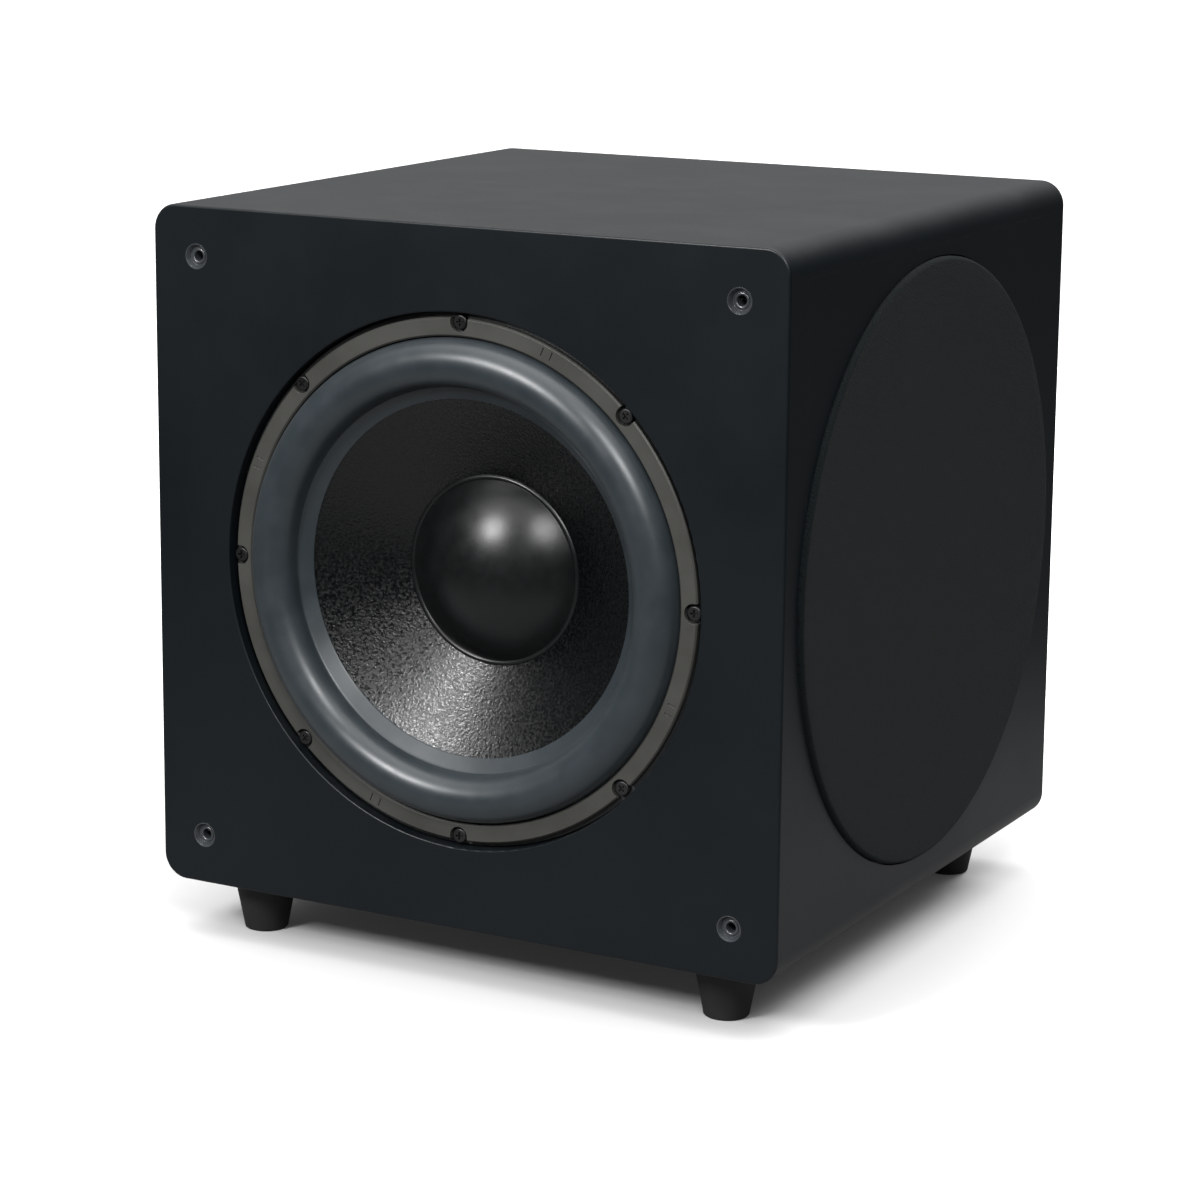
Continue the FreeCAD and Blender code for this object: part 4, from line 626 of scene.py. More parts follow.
class FinishShelf:
    """Every finish on the subwoofer, by the record's slot or a name of its own."""

    def __init__(self) -> None:
        """Describe the finishes."""
        self.groups = GroupShelf()
        self.made: dict[str, bpy.types.Material] = {}
        lacquer = Finish(
            light=(0.0040, 0.0061, 0.0078), dark=(0.0033, 0.0051, 0.0066), roughness=0.34, spread=0.05,
            specular=0.28, patches=9.0, relief=Group.PEEL, relief_scale=650.0, relief_depth=0.000006,
            wear=0.5, wear_colour=(0.05, 0.052, 0.055), dust=0.05,
        )
        plastic = Finish(
            light=(0.016, 0.016, 0.0165), dark=(0.010, 0.010, 0.0105), roughness=0.46, relief_scale=1500.0,
            relief_depth=0.00002, wear=0.35, wear_colour=(0.06, 0.06, 0.06), soft_edge=0.0002,
        )
        rubber = Finish(
            light=(0.0215, 0.0285, 0.0335), dark=(0.0178, 0.0240, 0.0285), roughness=0.32, spread=0.06,
            specular=0.55, sheen=0.03, patches=60.0, relief_scale=1400.0, relief_depth=0.000015, dust=0.04,
        )
        steel = Finish(
            light=(0.56, 0.56, 0.54), dark=(0.42, 0.42, 0.41), roughness=0.3, metallic=1.0,
            relief_scale=1800.0, relief_depth=0.00001, patches=120.0,
        )
        self.finishes: dict[str, Finish] = {
            "lacquer": lacquer,
            "raw_board": Finish(
                light=(0.30, 0.21, 0.13), dark=(0.22, 0.15, 0.09), roughness=0.85, relief=Group.FIBRE,
                relief_depth=0.00012, patches=300.0,
            ),
            "foot_plastic": Finish(
                light=(0.014, 0.014, 0.0145), dark=(0.009, 0.009, 0.0095), roughness=0.6,
                relief_scale=1300.0, relief_depth=0.00005, wear=0.4, wear_colour=(0.05, 0.05, 0.05), dust=0.25,
            ),
            "socket_plastic": Finish(
                light=(0.036, 0.040, 0.045), dark=(0.024, 0.027, 0.031), roughness=0.26, specular=0.8,
                relief_scale=1800.0, relief_depth=0.00001, soft_edge=0.0002,
            ),
            "black_steel": Finish(
                light=(0.030, 0.030, 0.032), dark=(0.018, 0.018, 0.019), roughness=0.32, metallic=0.6,
                relief_scale=2500.0, relief_depth=0.00001, wear=0.5, wear_colour=(0.25, 0.25, 0.25),
                wear_width=0.0002,
            ),
            "black_casting": Finish(
                light=(0.030, 0.031, 0.033), dark=(0.020, 0.021, 0.022), roughness=0.5, metallic=0.3,
                relief_scale=500.0, relief_depth=0.0001, wear=0.3, wear_colour=(0.2, 0.2, 0.2),
            ),
            "gasket_foam": Finish(
                light=(0.020, 0.020, 0.021), dark=(0.010, 0.010, 0.010), roughness=0.95, specular=0.2,
                relief=Group.PORES, relief_scale=1600.0, relief_depth=0.0003, sheen=0.2,
            ),
            "trim_plastic": Finish(
                light=(0.046, 0.0455, 0.0415), dark=(0.036, 0.0355, 0.032), roughness=0.40, spread=0.06,
                relief_scale=1900.0, relief_depth=0.000016, patches=25.0, wear=0.25,
                wear_colour=(0.16, 0.155, 0.14), soft_edge=0.0003, dust=0.05,
            ),
            "zinc_steel": steel,
            "ferrite": Finish(
                light=(0.045, 0.044, 0.043), dark=(0.028, 0.028, 0.028), roughness=0.6,
                relief_scale=700.0, relief_depth=0.00008, wear=0.6, wear_colour=(0.12, 0.12, 0.12),
            ),
            "rubber": rubber,
            "terminal_board": Finish(
                light=(0.13, 0.055, 0.020), dark=(0.09, 0.038, 0.014), roughness=0.5, relief=Group.FIBRE,
                relief_scale=1200.0, relief_depth=0.00003,
            ),
            "surround_rubber": rubber,
            "spider_cloth": Finish(
                light=(0.33, 0.20, 0.055), dark=(0.24, 0.14, 0.035), roughness=0.85, sheen=0.3,
                relief=Group.FIBRE, relief_scale=1500.0, relief_depth=0.00015,
            ),
            "lead_braid": Finish(
                light=(0.60, 0.55, 0.45), dark=(0.35, 0.31, 0.25), roughness=0.4, metallic=0.9,
                relief_scale=3000.0, relief_depth=0.0001, patches=1500.0,
            ),
            "plate_steel": Finish(
                light=(0.022, 0.022, 0.023), dark=(0.014, 0.014, 0.015), roughness=0.5, relief=Group.PEEL,
                relief_scale=1500.0, relief_depth=0.00004, wear=0.4, wear_colour=(0.18, 0.18, 0.18),
                soft_edge=0.0003,
            ),
            "anodised": Finish(
                light=(0.034, 0.035, 0.037), dark=(0.024, 0.024, 0.026), roughness=0.36, metallic=0.5,
                relief=Group.BRUSHED, relief_depth=0.00002, wear=0.5, wear_colour=(0.4, 0.4, 0.4),
                wear_width=0.0003,
            ),
            "nickel": steel,
            "jack_metal": Finish(
                light=(0.66, 0.52, 0.27), dark=(0.55, 0.42, 0.20), roughness=0.22, metallic=1.0,
                relief_scale=2200.0, relief_depth=0.00001, patches=200.0,
            ),
            "lens": Finish(
                light=(0.10, 0.42, 0.16), dark=(0.07, 0.33, 0.12), roughness=0.15, coat=0.6,
                relief_depth=0.00002,
            ),
            "inlet_plastic": plastic,
            "circuit_board": Finish(
                light=(0.020, 0.090, 0.035), dark=(0.012, 0.060, 0.022), roughness=0.4, relief=Group.WEAVE,
                relief_scale=0.0012, relief_depth=0.00003, patches=500.0,
            ),
            "transformer_wrap": Finish(
                light=(0.30, 0.25, 0.06), dark=(0.22, 0.18, 0.04), roughness=0.3, coat=0.4,
                relief=Group.BRUSHED, relief_scale=600.0, relief_depth=0.0002,
            ),
            "cable_jacket": Finish(
                light=(0.014, 0.014, 0.015), dark=(0.009, 0.009, 0.010), roughness=0.5,
                relief_scale=1300.0, relief_depth=0.00002,
            ),
            "cone_fibre": Finish(
                light=(0.0012, 0.0017, 0.0019), dark=(0.0006, 0.0010, 0.0012), roughness=0.13, spread=0.28,
                patches=560.0, relief=Group.FIBRE, relief_scale=600.0, relief_depth=0.00024,
            ),
            "cap_fibre": Finish(
                light=(0.0038, 0.0048, 0.0049), dark=(0.0028, 0.0036, 0.0037), roughness=0.29, spread=0.05,
                specular=0.45, patches=90.0, relief_depth=0.00002,
            ),
            "copper": Finish(
                light=(0.62, 0.24, 0.11), dark=(0.48, 0.17, 0.07), roughness=0.3, metallic=1.0,
                relief=Group.BRUSHED, relief_scale=1800.0, relief_depth=0.00004,
            ),
            "grille_plastic": plastic,
            "grille_cloth": Finish(
                light=(0.0042, 0.0078, 0.0090), dark=(0.0033, 0.0062, 0.0072), roughness=0.85, spread=0.06,
                specular=0.15, sheen=0.03, patches=26.0, relief=Group.WEAVE, relief_scale=0.0009,
                relief_depth=0.00022, dust=0.03,
            ),
            "knob_plastic": plastic,
            "printed_mark": Finish(
                light=(0.62, 0.62, 0.60), dark=(0.50, 0.50, 0.49), roughness=0.55, relief_scale=2200.0,
                relief_depth=0.00001, patches=400.0,
            ),
        }

    def get(self, name: str) -> bpy.types.Material:
        """Give a finish's material, building it the first time."""
        if name not in self.made:
            self.made[name] = self.finishes[name].build(name, self.groups)
        return self.made[name]

    def dress(self, piece: bpy.types.Object, finish: str, slot: str | None = None) -> bpy.types.Object:
        """Give a piece one finish all over.

        Args:
            piece: Mesh to dress.
            finish: Name of the finish.
            slot: The record's slot, for a piece that isn't a CAD node; not used.

        Returns:
            The same piece.
        """
        piece.data.materials.clear()
        piece.data.materials.append(self.get(finish))
        return piece


# ------------------------------------------------------------------ sub-assemblies
@dataclass
class Assembly:
    """What every sub-assembly needs."""

    faces: Faces
    finishes: FinishShelf

    def note(self, piece: bpy.types.Object, words: str) -> None:
        """Report one piece in the log."""
        LOG.info("%s: %s, %d corners", piece.name, words, len(piece.data.vertices))

    def press_foam(self, piece: bpy.types.Object, node: str) -> None:
        """Press a foam piece in place of its node, and dress it.

        Args:
            piece: The foam's mesh.
            node: CAD node that it stands for.
        """
        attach(piece, "cabinet")
        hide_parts(node)
        self.finishes.dress(piece, "gasket_foam", "gasket_foam")
        self.note(piece, "pressed foam")


@dataclass
class CarriedNodes(Assembly):
    """CAD nodes that keep their shape and get their finish."""

    def build(self) -> None:
        """Dress every CAD node by its slot in the record."""
        for part in frame["record"]["subparts"]:
            name = part["node"]
            piece = self.finishes.dress(frame["nodes"][name], part["material_slot"])
            self.note(piece, "kept from the frame in " + part["material_slot"])


@dataclass
class WooferSoftParts(Assembly):
    """Rubber roll, cap, spider, gasket and leads of the woofer."""

    flange_radius: float = 142.6
    flange_out: float = -6.3
    roll_middle: float = 124.8
    roll_radius: float = 13.8
    skin: float = 1.2
    crease_radius: float = 0.8
    landing_radius: float = 103.0
    landing_slope: float = 0.6
    step_out: float = -7.7
    bend_steps: int = 40
    spider_inner: float = 32.7
    spider_outer: float = 79.2
    spider_rim: float = 88.5
    spider_out: float = -64.06
    spider_waves: int = 5
    spider_wave_height: float = 1.6
    spider_skin: float = 0.8
    gasket_inner: float = 139.6
    gasket_outer: float = 152.0
    gasket_span: tuple[float, float] = (-13.0, -11.5)
    lead_start: tuple[float, float, float] = (22.0, 96.0, -75.96)
    lead_route: tuple[tuple[float, float, float], ...] = (
        (0, 0, 0), (0, 7, 0), (2, 13, 10), (4, 8, 24), (4, -8, 32), (3, -30, 39.5),
    )
    lead_diameter: float = 1.8
    strand_turns: int = 14
    cap_radius: float = 52.5
    cap_height: float = 22.0
    cap_skin: float = 1.0
    bead_width: float = 3.0
    bead_height: float = 0.8
    bead_drop: float = 0.1
    cap_foot_drop: float = 1.9

    def build(self) -> None:
        """Build and dress the moving parts and the gasket."""
        self.build_surround()
        self.build_cap()
        self.build_spider()
        self.build_gasket()
        for name, side in (("lead_wire_left", -1), ("lead_wire_right", 1)):
            self.build_lead(name, side)

    def roll_profile(self) -> Profile:
        """Profile of the roll, its flange and its landing on the cone.

        Returns:
            Points round the closed skin.
        """
        under = self.flange_out - self.skin + 0.05
        inner_edge = self.roll_middle - self.roll_radius
        crease_middle = self.roll_middle + math.sqrt(
            (self.roll_radius + self.crease_radius) ** 2 - self.crease_radius ** 2
        )
        crease_angle = math.degrees(math.asin(self.crease_radius / (self.roll_radius + self.crease_radius)))
        drop = self.landing_slope * (inner_edge - self.landing_radius)
        profile: Profile = [(self.flange_radius, under), (self.flange_radius, self.flange_out - 0.3)]
        profile += [(self.flange_radius - 0.3, self.flange_out)]
        profile += arc(
            crease_middle, self.flange_out + self.crease_radius, self.crease_radius, 270, 180 + crease_angle, 6
        )
        profile += arc(self.roll_middle, self.flange_out, self.roll_radius, crease_angle, 180, self.bend_steps)
        profile += [(inner_edge - 0.05, self.flange_out - 0.7), (inner_edge - 0.4, self.step_out + 0.05)]
        profile += [(inner_edge - 1.1, self.step_out - 0.55)]
        foot = self.step_out - drop
        profile += [(self.landing_radius + 0.5, foot + 0.25), (self.landing_radius, foot - 0.2)]
        profile += [(self.landing_radius, foot - 0.9)]
        profile += [(inner_edge, self.step_out - 1.0), (inner_edge + self.skin, self.step_out - 0.9)]
        profile += arc(self.roll_middle, self.flange_out, self.roll_radius - self.skin, 180, 0, self.bend_steps)
        profile += [(self.roll_middle + self.roll_radius - self.skin, under)]
        return profile

    def build_surround(self) -> None:
        """Half roll of rubber that stretches between the basket and the cone."""
        face = self.faces.front
        piece = turned("surround_roll", self.roll_profile(), face, steps=FINE_STEPS)
        held = self.roll_middle + self.roll_radius
        hold_between(piece, radial_share(face, held, self.roll_middle - self.roll_radius))
        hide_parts("woofer_surround")
        self.finishes.dress(piece, "surround_rubber", "surround_rubber")
        self.note(piece, "half roll of rubber")

    def dome(self, crown: float, radius: float, steps: int) -> Profile:
        """Points on a dome from its crown to the cap's rim.

        Args:
            crown: Distance of its crown out of the face.
            radius: Radius of its curve.
            steps: Number of steps from crown to rim.

        Returns:
            The points.
        """
        places = [self.cap_radius * step / steps for step in range(steps + 1)]
        return [(place, crown - radius + math.sqrt(radius ** 2 - place ** 2)) for place in places]

    def build_cap(self) -> None:
        """Domed cap with a rolled bead round its rim."""
        face = self.faces.front
        low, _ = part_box("woofer_dust_cap")
        crown = (face.point(0, 0, 0).y - low[1]) / MM
        rim = crown - self.cap_height
        curve = (self.cap_radius ** 2 + self.cap_height ** 2) / (2 * self.cap_height)
        profile = self.dome(crown, curve, self.bend_steps)
        for step in range(1, self.bend_steps // 2 + 1):
            share = 2 * step / self.bend_steps
            bulge = 4 * self.bead_height * share * (1 - share) - self.bead_drop * share
            profile.append((self.cap_radius + self.bead_width * share, rim + bulge))
        profile.append((self.cap_radius, rim - self.cap_foot_drop))
        profile += reversed(self.dome(crown - self.cap_skin, curve - self.cap_skin, self.bend_steps))
        piece = turned("dust_cap_dome", profile, face, closed=False)
        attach(piece, "woofer_piston")
        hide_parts("woofer_dust_cap")
        self.finishes.dress(piece, "cap_fibre", "cap_fibre")
        self.note(piece, "domed cap")

    def build_spider(self) -> None:
        """Corrugated cloth that centres the coil."""
        face = self.faces.front
        steps = 16 * self.spider_waves
        top: Profile = []
        for step in range(steps + 1):
            share = step / steps
            wave = self.spider_wave_height * math.sin(2 * math.pi * self.spider_waves * share)
            top.append((self.spider_inner + (self.spider_outer - self.spider_inner) * share, self.spider_out + wave))
        top.append((self.spider_rim, self.spider_out))
        under = [(radius, out - self.spider_skin) for radius, out in reversed(top)]
        piece = turned("spider_disc", top + under, face, steps=COARSE_STEPS)
        hold_between(piece, radial_share(face, self.spider_outer, self.spider_inner))
        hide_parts("woofer_spider")
        self.finishes.dress(piece, "spider_cloth", "spider_cloth")
        self.note(piece, "corrugated cloth")

    def build_gasket(self) -> None:
        """Foam ring pressed under the basket's flange."""
        piece = foam_ring("gasket_ring", self.faces.front, self.gasket_inner, self.gasket_outer, self.gasket_span)
        self.press_foam(piece, "woofer_gasket")

    def build_lead(self, name: str, side: int) -> None:
        """Braided lead from a terminal to the back of the cone.

        Args:
            name: Name of the piece.
            side: -1 for the left lead and 1 for the right one.
        """
        face = self.faces.front
        x, y, out = self.lead_start
        route = [face.point(side * (x + dx), y + dy, out + dz) for dx, dy, dz in self.lead_route]
        path = smooth_route(route)
        piece = twisted(name, path, self.lead_diameter * MM / 2, self.strand_turns, strands=6)
        first, last = route[0].y, route[-1].y
        hold_between(piece, lambda place: (place.y - first) / (last - first))
        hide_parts("woofer_lead_wires")
        self.finishes.dress(piece, "lead_braid", "lead_braid")
        self.note(piece, "braided lead")


def foam_ring(name: str, face: Face, inner: float, outer: float, span: tuple[float, float]) -> bpy.types.Object:
    """Flat foam ring with pressed, rounded rims.

    Args:
        name: Name of the piece.
        face: Face that the ring sits in.
        inner: Inner radius.
        outer: Outer radius.
        span: Lowest and highest distance out of the face.

    Returns:
        The new object.
    """
    low, high = span
    bend = (high - low) / 2
    middle = (low + high) / 2
    profile = arc(outer - bend, middle, bend, -90, 90, 6) + arc(inner + bend, middle, bend, 90, 270, 6)
    return turned(name, profile, face, steps=COARSE_STEPS)


def smooth_route(route: Sequence[Vector]) -> list[Vector]:
    """Points along a smooth line that follows a route.

    Args:
        route: Control points in metres.

    Returns:
        Points read from the line.
    """
    curve = bpy.data.curves.new("route", "CURVE")
    curve.dimensions = "3D"
    spline = curve.splines.new("NURBS")
    spline.points.add(len(route) - 1)
    for point, place in zip(spline.points, route):
        point.co = (*place, 1.0)
    spline.order_u = 3
    spline.use_endpoint_u = True
    spline.resolution_u = 12
    holder = bpy.data.objects.new("route", curve)
    mesh = bpy.data.meshes.new_from_object(holder)
    points = [v.co.copy() for v in mesh.vertices]
    bpy.data.objects.remove(holder)
    bpy.data.meshes.remove(mesh)
    return points


def twisted(
    name: str, path: Sequence[Vector], radius: float, turns: int, strands: int, sides: int = 18,
) -> bpy.types.Object:
    """Tube of twisted strands along a line.

    Args:
        name: Name of the piece.
        path: Points along its middle.
        radius: Radius over the strands.
        turns: Turns of its strands over the whole length.
        strands: Number of strands round it.
        sides: Corners round the tube.

    Returns:
        The new object.
    """
    verts: list[Vector] = []
    normal = Vector((1, 0, 0))
    for index, place in enumerate(path):
        ahead = path[min(index + 1, len(path) - 1)] - path[max(index - 1, 0)]
        ahead.normalize()
        normal = (normal - ahead * normal.dot(ahead)).normalized()
        across = ahead.cross(normal)
        twist = 2 * math.pi * turns * index / len(path)
        for side in range(sides):
            angle = 2 * math.pi * side / sides
            lobe = radius * (0.92 + 0.08 * math.cos(strands * angle + twist))
            verts.append(place + (normal * math.cos(angle) + across * math.sin(angle)) * lobe)
    faces: list[Sequence[int]] = list(band_faces(len(path), sides, False))
    faces.append(tuple(range(sides)))
    faces.append(tuple(len(verts) - 1 - step for step in range(sides)))
    return finished_mesh(name, verts, faces, STRAND_CREASE)


@dataclass
class SpeakerCable(Assembly):
    """Two-core cable inside the cabinet, from the woofer's terminals to the amplifier."""

    route: tuple[tuple[float, float, float], ...] = (
        (0.0, -97.29, 329.0), (0.0, -71.29, 329.0), (-3.0, -31.29, 335.0), (-9.0, 14.71, 333.0),
        (-15.0, 56.71, 317.0), (-20.0, 91.65, 292.0), (-21.0, 109.65, 270.0), (-20.0, 131.65, 262.0),
        (-20.0, 153.65, 262.0),
    )
    diameter: float = 6.0
    core_turns: int = 8

    def build(self) -> None:
        """Build and dress the cable."""
        path = smooth_route([Vector(point) * MM for point in self.route])
        piece = twisted("speaker_cable_cores", path, self.diameter * MM / 2, self.core_turns, strands=2)
        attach(piece, "cabinet")
        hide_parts("speaker_cable")
        self.finishes.dress(piece, "cable_jacket", "cable_jacket")
        self.note(piece, "two-core cable")


@dataclass
class SideRadiator(Assembly):
    """Rubber roll, gasket and grille cloth on one side of the cabinet."""

    side: str = "right"
    flange_radius: float = 142.0
    roll_outer: float = 136.0
    roll_inner: float = 112.0
    landing_radius: float = 104.0
    top_out: float = -10.75
    skin: float = 1.2
    bend_steps: int = 28
    gasket_inner: float = 142.6
    gasket_outer: float = 151.6
    gasket_span: tuple[float, float] = (-16.0, -14.5)
    cloth_radius: float = 176.4
    cloth_proud: float = 3.0
    cloth_edge: float = 2.4
    cloth_back: float = -4.6
    cloth_hem: float = 1.4
    cloth_rows: int = 24

    @property
    def face(self) -> Face:
        """The cabinet face that this radiator sits in."""
        return self.faces.right if self.side == "right" else self.faces.left

    def build(self) -> None:
        """Build and dress the roll, the gasket and the cloth."""
        self.build_roll()
        self.build_gasket()
        self.build_cloth()

    def build_roll(self) -> None:
        """Inward half roll between the frame and the diaphragm."""
        middle = (self.roll_outer + self.roll_inner) / 2
        reach = (self.roll_outer - self.roll_inner) / 2
        under = self.top_out - self.skin
        profile: Profile = [(self.flange_radius, under), (self.flange_radius, self.top_out)]
        profile += [(middle + a, b) for a, b in arc(0, self.top_out, reach - self.skin, 0, -180, self.bend_steps)]
        profile += [(self.landing_radius, self.top_out), (self.landing_radius, under)]
        profile += [(middle + a, b) for a, b in arc(0, under, reach, -180, 0, self.bend_steps)]
        piece = turned(self.side + "_roll", profile, self.face)
        hold_between(piece, radial_share(self.face, self.roll_outer, self.roll_inner))
        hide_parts(self.side + "_radiator_surround")
        self.finishes.dress(piece, "surround_rubber", "surround_rubber")
        self.note(piece, "inward roll of rubber")

    def build_gasket(self) -> None:
        """Foam ring pressed under the radiator's flange."""
        piece = foam_ring(
            self.side + "_gasket_ring", self.face, self.gasket_inner, self.gasket_outer, self.gasket_span
        )
        self.press_foam(piece, "radiator_gaskets")

    def build_cloth(self) -> None:
        """Cloth stretched over the grille's ring and down its edge."""
        flat = self.cloth_radius - self.cloth_edge
        profile: Profile = [(flat * row / self.cloth_rows, self.cloth_proud) for row in range(self.cloth_rows)]
        profile += arc(flat, self.cloth_proud - self.cloth_edge, self.cloth_edge, 90, 0, 8)
        profile += [(self.cloth_radius, self.cloth_back), (self.cloth_radius - self.cloth_hem, self.cloth_back)]
        piece = turned(self.side + "_cloth", profile, self.face, closed=False, steps=FINE_STEPS)
        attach(piece, self.side + "_grille")
        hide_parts(self.side + "_grille_cloth")
        self.finishes.dress(piece, "grille_cloth", "grille_cloth")
        self.note(piece, "stretched grille cloth")


@dataclass
class AmplifierTrim(Assembly):
    """Foam frame behind the amplifier's plate and the scales printed on it."""

    plate_width: float = 240.0
    plate_height: float = 290.0
    plate_drop: float = 15.0
    plate_out: float = 4.5
    lip: float = 20.0
    foam_thickness: float = 1.5
    foam_inset: float = 0.6
    foam_corner: float = 4.0
    knob_xs: tuple[float, float] = (36.0, 84.0)
    knob_y: float = 92.0
    tick_radius: float = 14.5
    tick_length: float = 3.0
    tick_width: float = 0.8
    tick_turn: float = 30.0
    tick_count: int = 11
    long_every: int = 5
    long_tick: float = 1.5
    ink_height: float = 0.06
    frame_line: float = 0.5
    frame_corner: float = 5.0
    outlines: tuple[tuple[str, tuple[float, float], tuple[float, float]], ...] = (
        ("controls_outline", (60.0, 62.0), (92.0, 148.0)), ("power_outline", (55.0, -75.0), (82.0, 54.0)),
    )

    def build(self) -> None:
        """Build and dress the foam frame, the scales and the outlines."""
        self.build_foam()
        for name, x in zip(("volume_scale", "crossover_scale"), self.knob_xs):
            self.build_scale(name, x)
        for name, middle, size in self.outlines:
            self.build_outline(name, middle, size)

    def build_foam(self) -> None:
        """Foam frame pressed between the plate and the rear panel."""
        bend = self.foam_thickness / 2
        rows = arc(self.foam_inset, bend, bend, 270, 90, 6)
        rows += arc(self.lip - self.foam_inset, bend, bend, 90, -90, 6)
        verts = []
        for inset, out in rows:
            width, height = self.plate_width - 2 * inset, self.plate_height - 2 * inset
            for x, y in rounded_rectangle(width, height, self.foam_corner):
                verts.append(self.faces.rear.point(x, y - self.plate_drop, out))
        piece = finished_mesh("amp_foam_frame", verts, band_faces(len(rows), len(verts) // len(rows), True))
        self.press_foam(piece, "amp_gasket")

    def ink(self, name: str, loops: Sequence[Profile]) -> bpy.types.Object:
        """Raise printed shapes from the plate.

        Args:
            name: Name of the piece.
            loops: Outlines of the shapes, on the rear face.

        Returns:
            The new object.
        """
        verts: list[Vector] = []
        faces: list[Sequence[int]] = []
        for loop in loops:
            first, count = len(verts), len(loop)
            for out in (self.plate_out, self.plate_out + self.ink_height):
                verts += [self.faces.rear.point(x, y, out) for x, y in loop]
            faces += [tuple(first + n for n in face) for face in band_faces(2, count, False)]
            faces += [tuple(first + n for n in range(count)), tuple(first + count + n for n in range(count))]
        piece = finished_mesh(name, verts, faces)
        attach(piece, "cabinet")
        self.finishes.dress(piece, "printed_mark")
        self.note(piece, "printed mark")
        return piece

    def build_scale(self, name: str, x: float) -> None:
        """Ticks round a knob, every fifth one longer.

        Args:
            name: Name of the piece.
            x: Place of the knob across the plate.
        """
        loops = []
        for index in range(self.tick_count):
            angle = math.radians(90 + self.tick_turn * (index - (self.tick_count - 1) / 2))
            longer = self.tick_length * (self.long_tick if index % self.long_every == 0 else 1.0)
            along = Vector((math.cos(angle), math.sin(angle)))
            across = Vector((-math.sin(angle), math.cos(angle)))
            middle = Vector((x, self.knob_y)) + along * (self.tick_radius + longer / 2)
            loop = []
            for a, b in rounded_rectangle(longer, self.tick_width, self.tick_width / 2 - 0.01, 4):
                spot = middle + along * a + across * b
                loop.append((spot.x, spot.y))
            loops.append(loop)
        self.ink(name, loops)

    def build_outline(self, name: str, middle: tuple[float, float], size: tuple[float, float]) -> None:
        """Thin printed line round a group of controls.

        Args:
            name: Name of the piece.
            middle: Middle of the group on the rear face.
            size: Width and height of the line's rectangle.
        """
        verts: list[Vector] = []
        for inset, out in (
            (0.0, self.plate_out), (0.0, self.plate_out + self.ink_height),
            (self.frame_line, self.plate_out + self.ink_height), (self.frame_line, self.plate_out),
        ):
            for x, y in rounded_rectangle(size[0] - 2 * inset, size[1] - 2 * inset, self.frame_corner - inset):
                verts.append(self.faces.rear.point(x + middle[0], y + middle[1], out))
        piece = finished_mesh(name, verts, band_faces(4, len(verts) // 4, True))
        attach(piece, "cabinet")
        self.finishes.dress(piece, "printed_mark")
        self.note(piece, "printed line")


# ------------------------------------------------------------------ studio
def grey(tone: float) -> tuple[float, float, float, float]:
    """Plain grey of one tone."""
    return (tone, tone, tone, 1.0)


@dataclass(frozen=True)
class SoftBox:
    """A soft light aimed at the subwoofer."""

    name: str
    azimuth: float
    height: float
    reach: float
    size: tuple[float, float]
    power: float
    mirrored: bool = True

    def hang(self, target: Vector) -> None:
        """Hang the light so that it faces the target.

        Args:
            target: Place it looks at, in metres.
        """
        data = bpy.data.lights.new(self.name, "AREA")
        data.shape = "RECTANGLE"
        data.size, data.size_y = self.size
        data.energy = self.power
        light = bpy.data.objects.new(self.name, data)
        light.visible_glossy = self.mirrored
        across, up = math.radians(self.azimuth), math.radians(self.height)
        away = Vector((math.sin(across) * math.cos(up), -math.cos(across) * math.cos(up), math.sin(up)))
        light.location = target + away * self.reach
        light.rotation_euler = away.to_track_quat("Z", "Y").to_euler()
        bpy.context.scene.collection.objects.link(light)


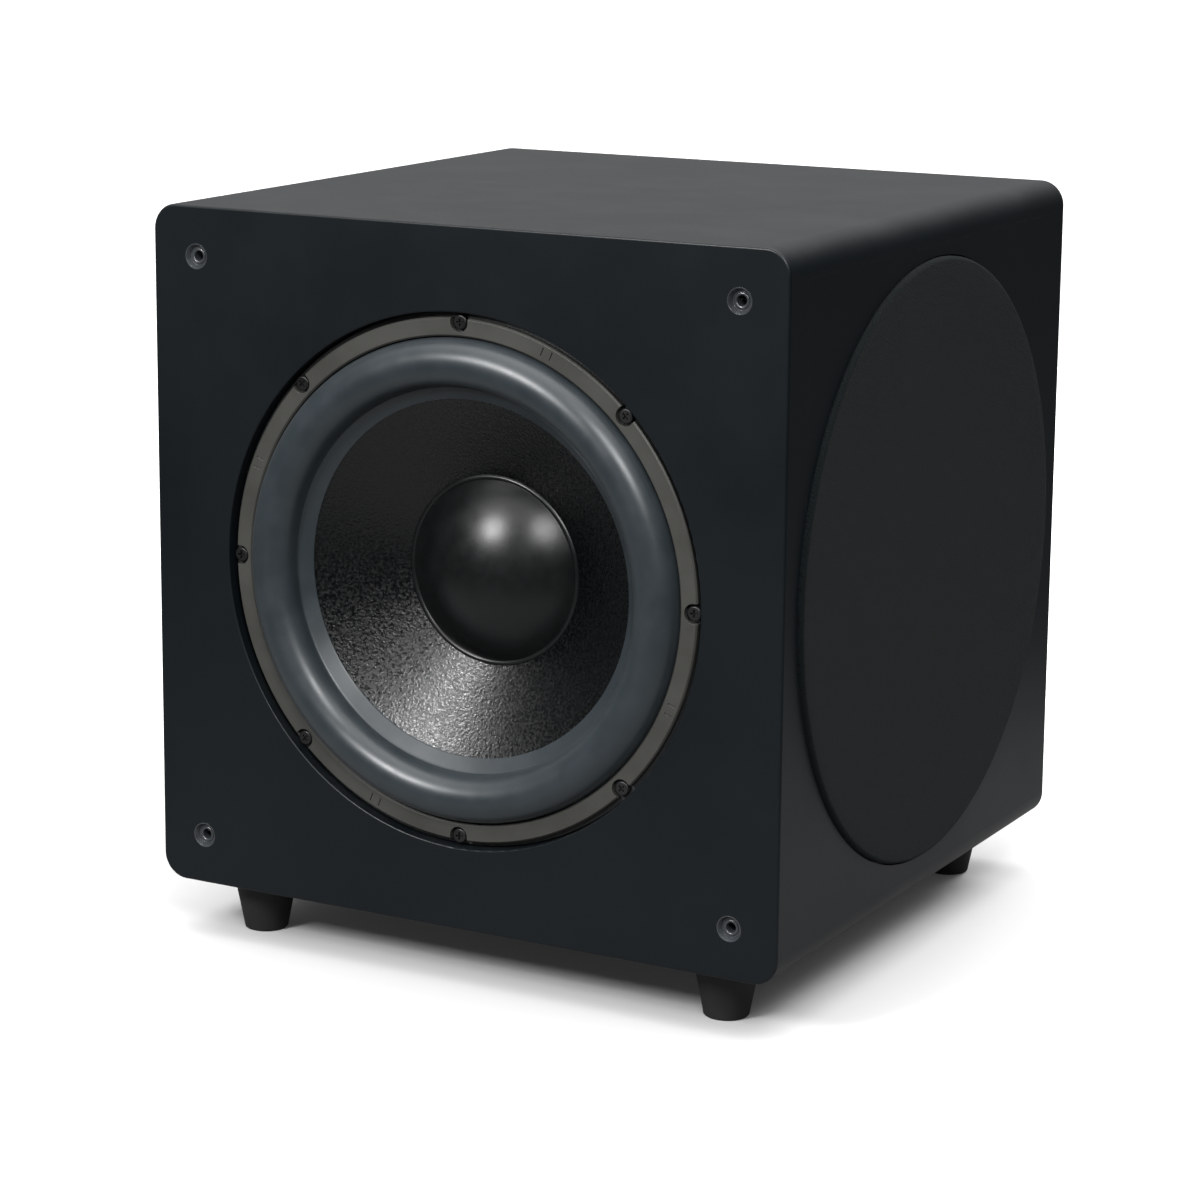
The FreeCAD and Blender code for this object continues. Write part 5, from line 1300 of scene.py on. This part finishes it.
@dataclass
class Studio:
    """Camera, lights and floor."""

    camera_place: Vector = field(default_factory=lambda: Vector((0.9801, -1.8388, 0.6665)))
    yaw: float = 29.678
    pitch: float = 11.78
    roll: float = 0.283
    lens: float = 104.92
    shift: tuple[float, float] = (0.06, -0.06)
    floor_size: float = 80.0
    # painted shadow: the floor seen by the camera has the first tone near the subwoofer and fades to the far tone
    # between the two distances below
    painted_shadow_tone: float = 0.58
    tone_far: float = 0.98
    painted_shadow_start: float = 0.20
    painted_shadow_end: float = 0.62
    floor_glow: float = 0.02
    floor_near: float = 0.17
    floor_far: float = 0.02
    fade_start: float = 0.35
    fade_end: float = 1.0
    room_base: float = 0.05
    room_dome: float = 4.6
    dome_power: float = 4.0
    glow: float = 0.27
    glow_span: tuple[float, float] = (0.6, 0.97)
    glow_way: tuple[float, float, float] = (-0.50, 0.84, 0.22)
    boxes: tuple[SoftBox, ...] = (
        SoftBox("front_box", -17, 28, 2.2, (0.42, 0.42), 35),
        SoftBox("side_box", 34, 33, 2.2, (0.55, 0.55), 24),
        SoftBox("back_box", 172, 22, 2.4, (1.0, 0.8), 50, mirrored=False),
    )

    def build(self) -> None:
        """Set up the whole studio."""
        self.build_camera()
        self.build_floor()
        self.build_world()
        low, high = CAD_BOX
        for box in self.boxes:
            box.hang((low + high) / 2)

    def build_camera(self) -> None:
        """Place the camera at the viewing angle."""
        data = bpy.data.cameras.new("camera")
        data.lens = self.lens
        data.shift_x, data.shift_y = self.shift
        camera = bpy.data.objects.new("camera", data)
        turn = Matrix.Rotation(math.radians(self.yaw), 4, "Z")
        tip = Matrix.Rotation(math.radians(90 - self.pitch), 4, "X")
        lean = Matrix.Rotation(math.radians(self.roll), 4, "Z")
        camera.matrix_world = Matrix.Translation(self.camera_place) @ turn @ tip @ lean
        bpy.context.scene.collection.objects.link(camera)
        bpy.context.scene.camera = camera

    def build_floor(self) -> None:
        """Lay a plain pale floor whose far parts send little light back at the subwoofer; for the camera it is
        painted darker round the subwoofer, a painted shadow.
        """
        half = self.floor_size / 2
        mesh = bpy.data.meshes.new("floor")
        corners = [(-half, -half, 0), (half, -half, 0), (half, half, 0), (-half, half, 0)]
        mesh.from_pydata(corners, [], [(0, 1, 2, 3)])
        floor = bpy.data.objects.new("floor", mesh)
        bpy.context.scene.collection.objects.link(floor)
        material = bpy.data.materials.new("floor")
        material.use_nodes = True
        nodes = Nodes(material.node_tree)
        shader = material.node_tree.nodes["Principled BSDF"]
        shader.inputs["Roughness"].default_value = 0.9
        shader.inputs["Specular IOR Level"].default_value = 0.0
        shader.inputs["Emission Color"].default_value = WHITE
        shader.inputs["Emission Strength"].default_value = self.floor_glow
        away = nodes.add("ShaderNodeVectorMath", {0: nodes.place()}, operation="LENGTH").outputs["Value"]
        fade = nodes.span(away, self.fade_start, self.fade_end)
        lit = nodes.mix(fade, grey(self.floor_near), grey(self.floor_far))
        # painted shadow: the floor seen by the camera darkens towards the subwoofer
        painted_shadow_fade = nodes.span(away, self.painted_shadow_start, self.painted_shadow_end)
        shown = nodes.mix(painted_shadow_fade, grey(self.painted_shadow_tone), grey(self.tone_far))
        seen = nodes.add("ShaderNodeLightPath").outputs["Is Camera Ray"]
        tone = nodes.mix(seen, lit, shown)
        material.node_tree.links.new(tone, shader.inputs["Base Color"])
        mesh.materials.append(material)

    def build_world(self) -> None:
        """Fill the room with plain soft light from above and a low glow behind."""
        world = bpy.data.worlds.new("studio")
        bpy.context.scene.world = world
        world.use_nodes = True
        nodes = Nodes(world.node_tree)
        background = world.node_tree.nodes["Background"]
        way = nodes.add("ShaderNodeTexCoord").outputs["Generated"]
        up = nodes.math("MAXIMUM", nodes.add("ShaderNodeSeparateXYZ", {0: way}).outputs["Z"], 0.0)
        dome = nodes.math("MULTIPLY_ADD", nodes.math("POWER", up, self.dome_power), self.room_dome, self.room_base)
        pair = {0: way, 1: Vector(self.glow_way).normalized()}
        near = nodes.add("ShaderNodeVectorMath", pair, operation="DOT_PRODUCT").outputs["Value"]
        light = nodes.math("MULTIPLY_ADD", nodes.span(near, *self.glow_span), self.glow, dome)
        seen = nodes.add("ShaderNodeLightPath").outputs["Is Camera Ray"]
        strength = nodes.math("MAXIMUM", seen, light)
        world.node_tree.links.new(strength, background.inputs["Strength"])
        background.inputs["Color"].default_value = WHITE


def main() -> None:
    """Build the studio and every sub-assembly in order."""
    logging.basicConfig(level=logging.INFO)
    bpy.context.scene.view_settings.view_transform = "Standard"
    Studio().build()
    faces, finishes = Faces(), FinishShelf()
    CarriedNodes(faces, finishes).build()
    WooferSoftParts(faces, finishes).build()
    SpeakerCable(faces, finishes).build()
    for side in ("left", "right"):
        SideRadiator(faces, finishes, side).build()
    AmplifierTrim(faces, finishes).build()


if __name__ == "__main__":
    main()
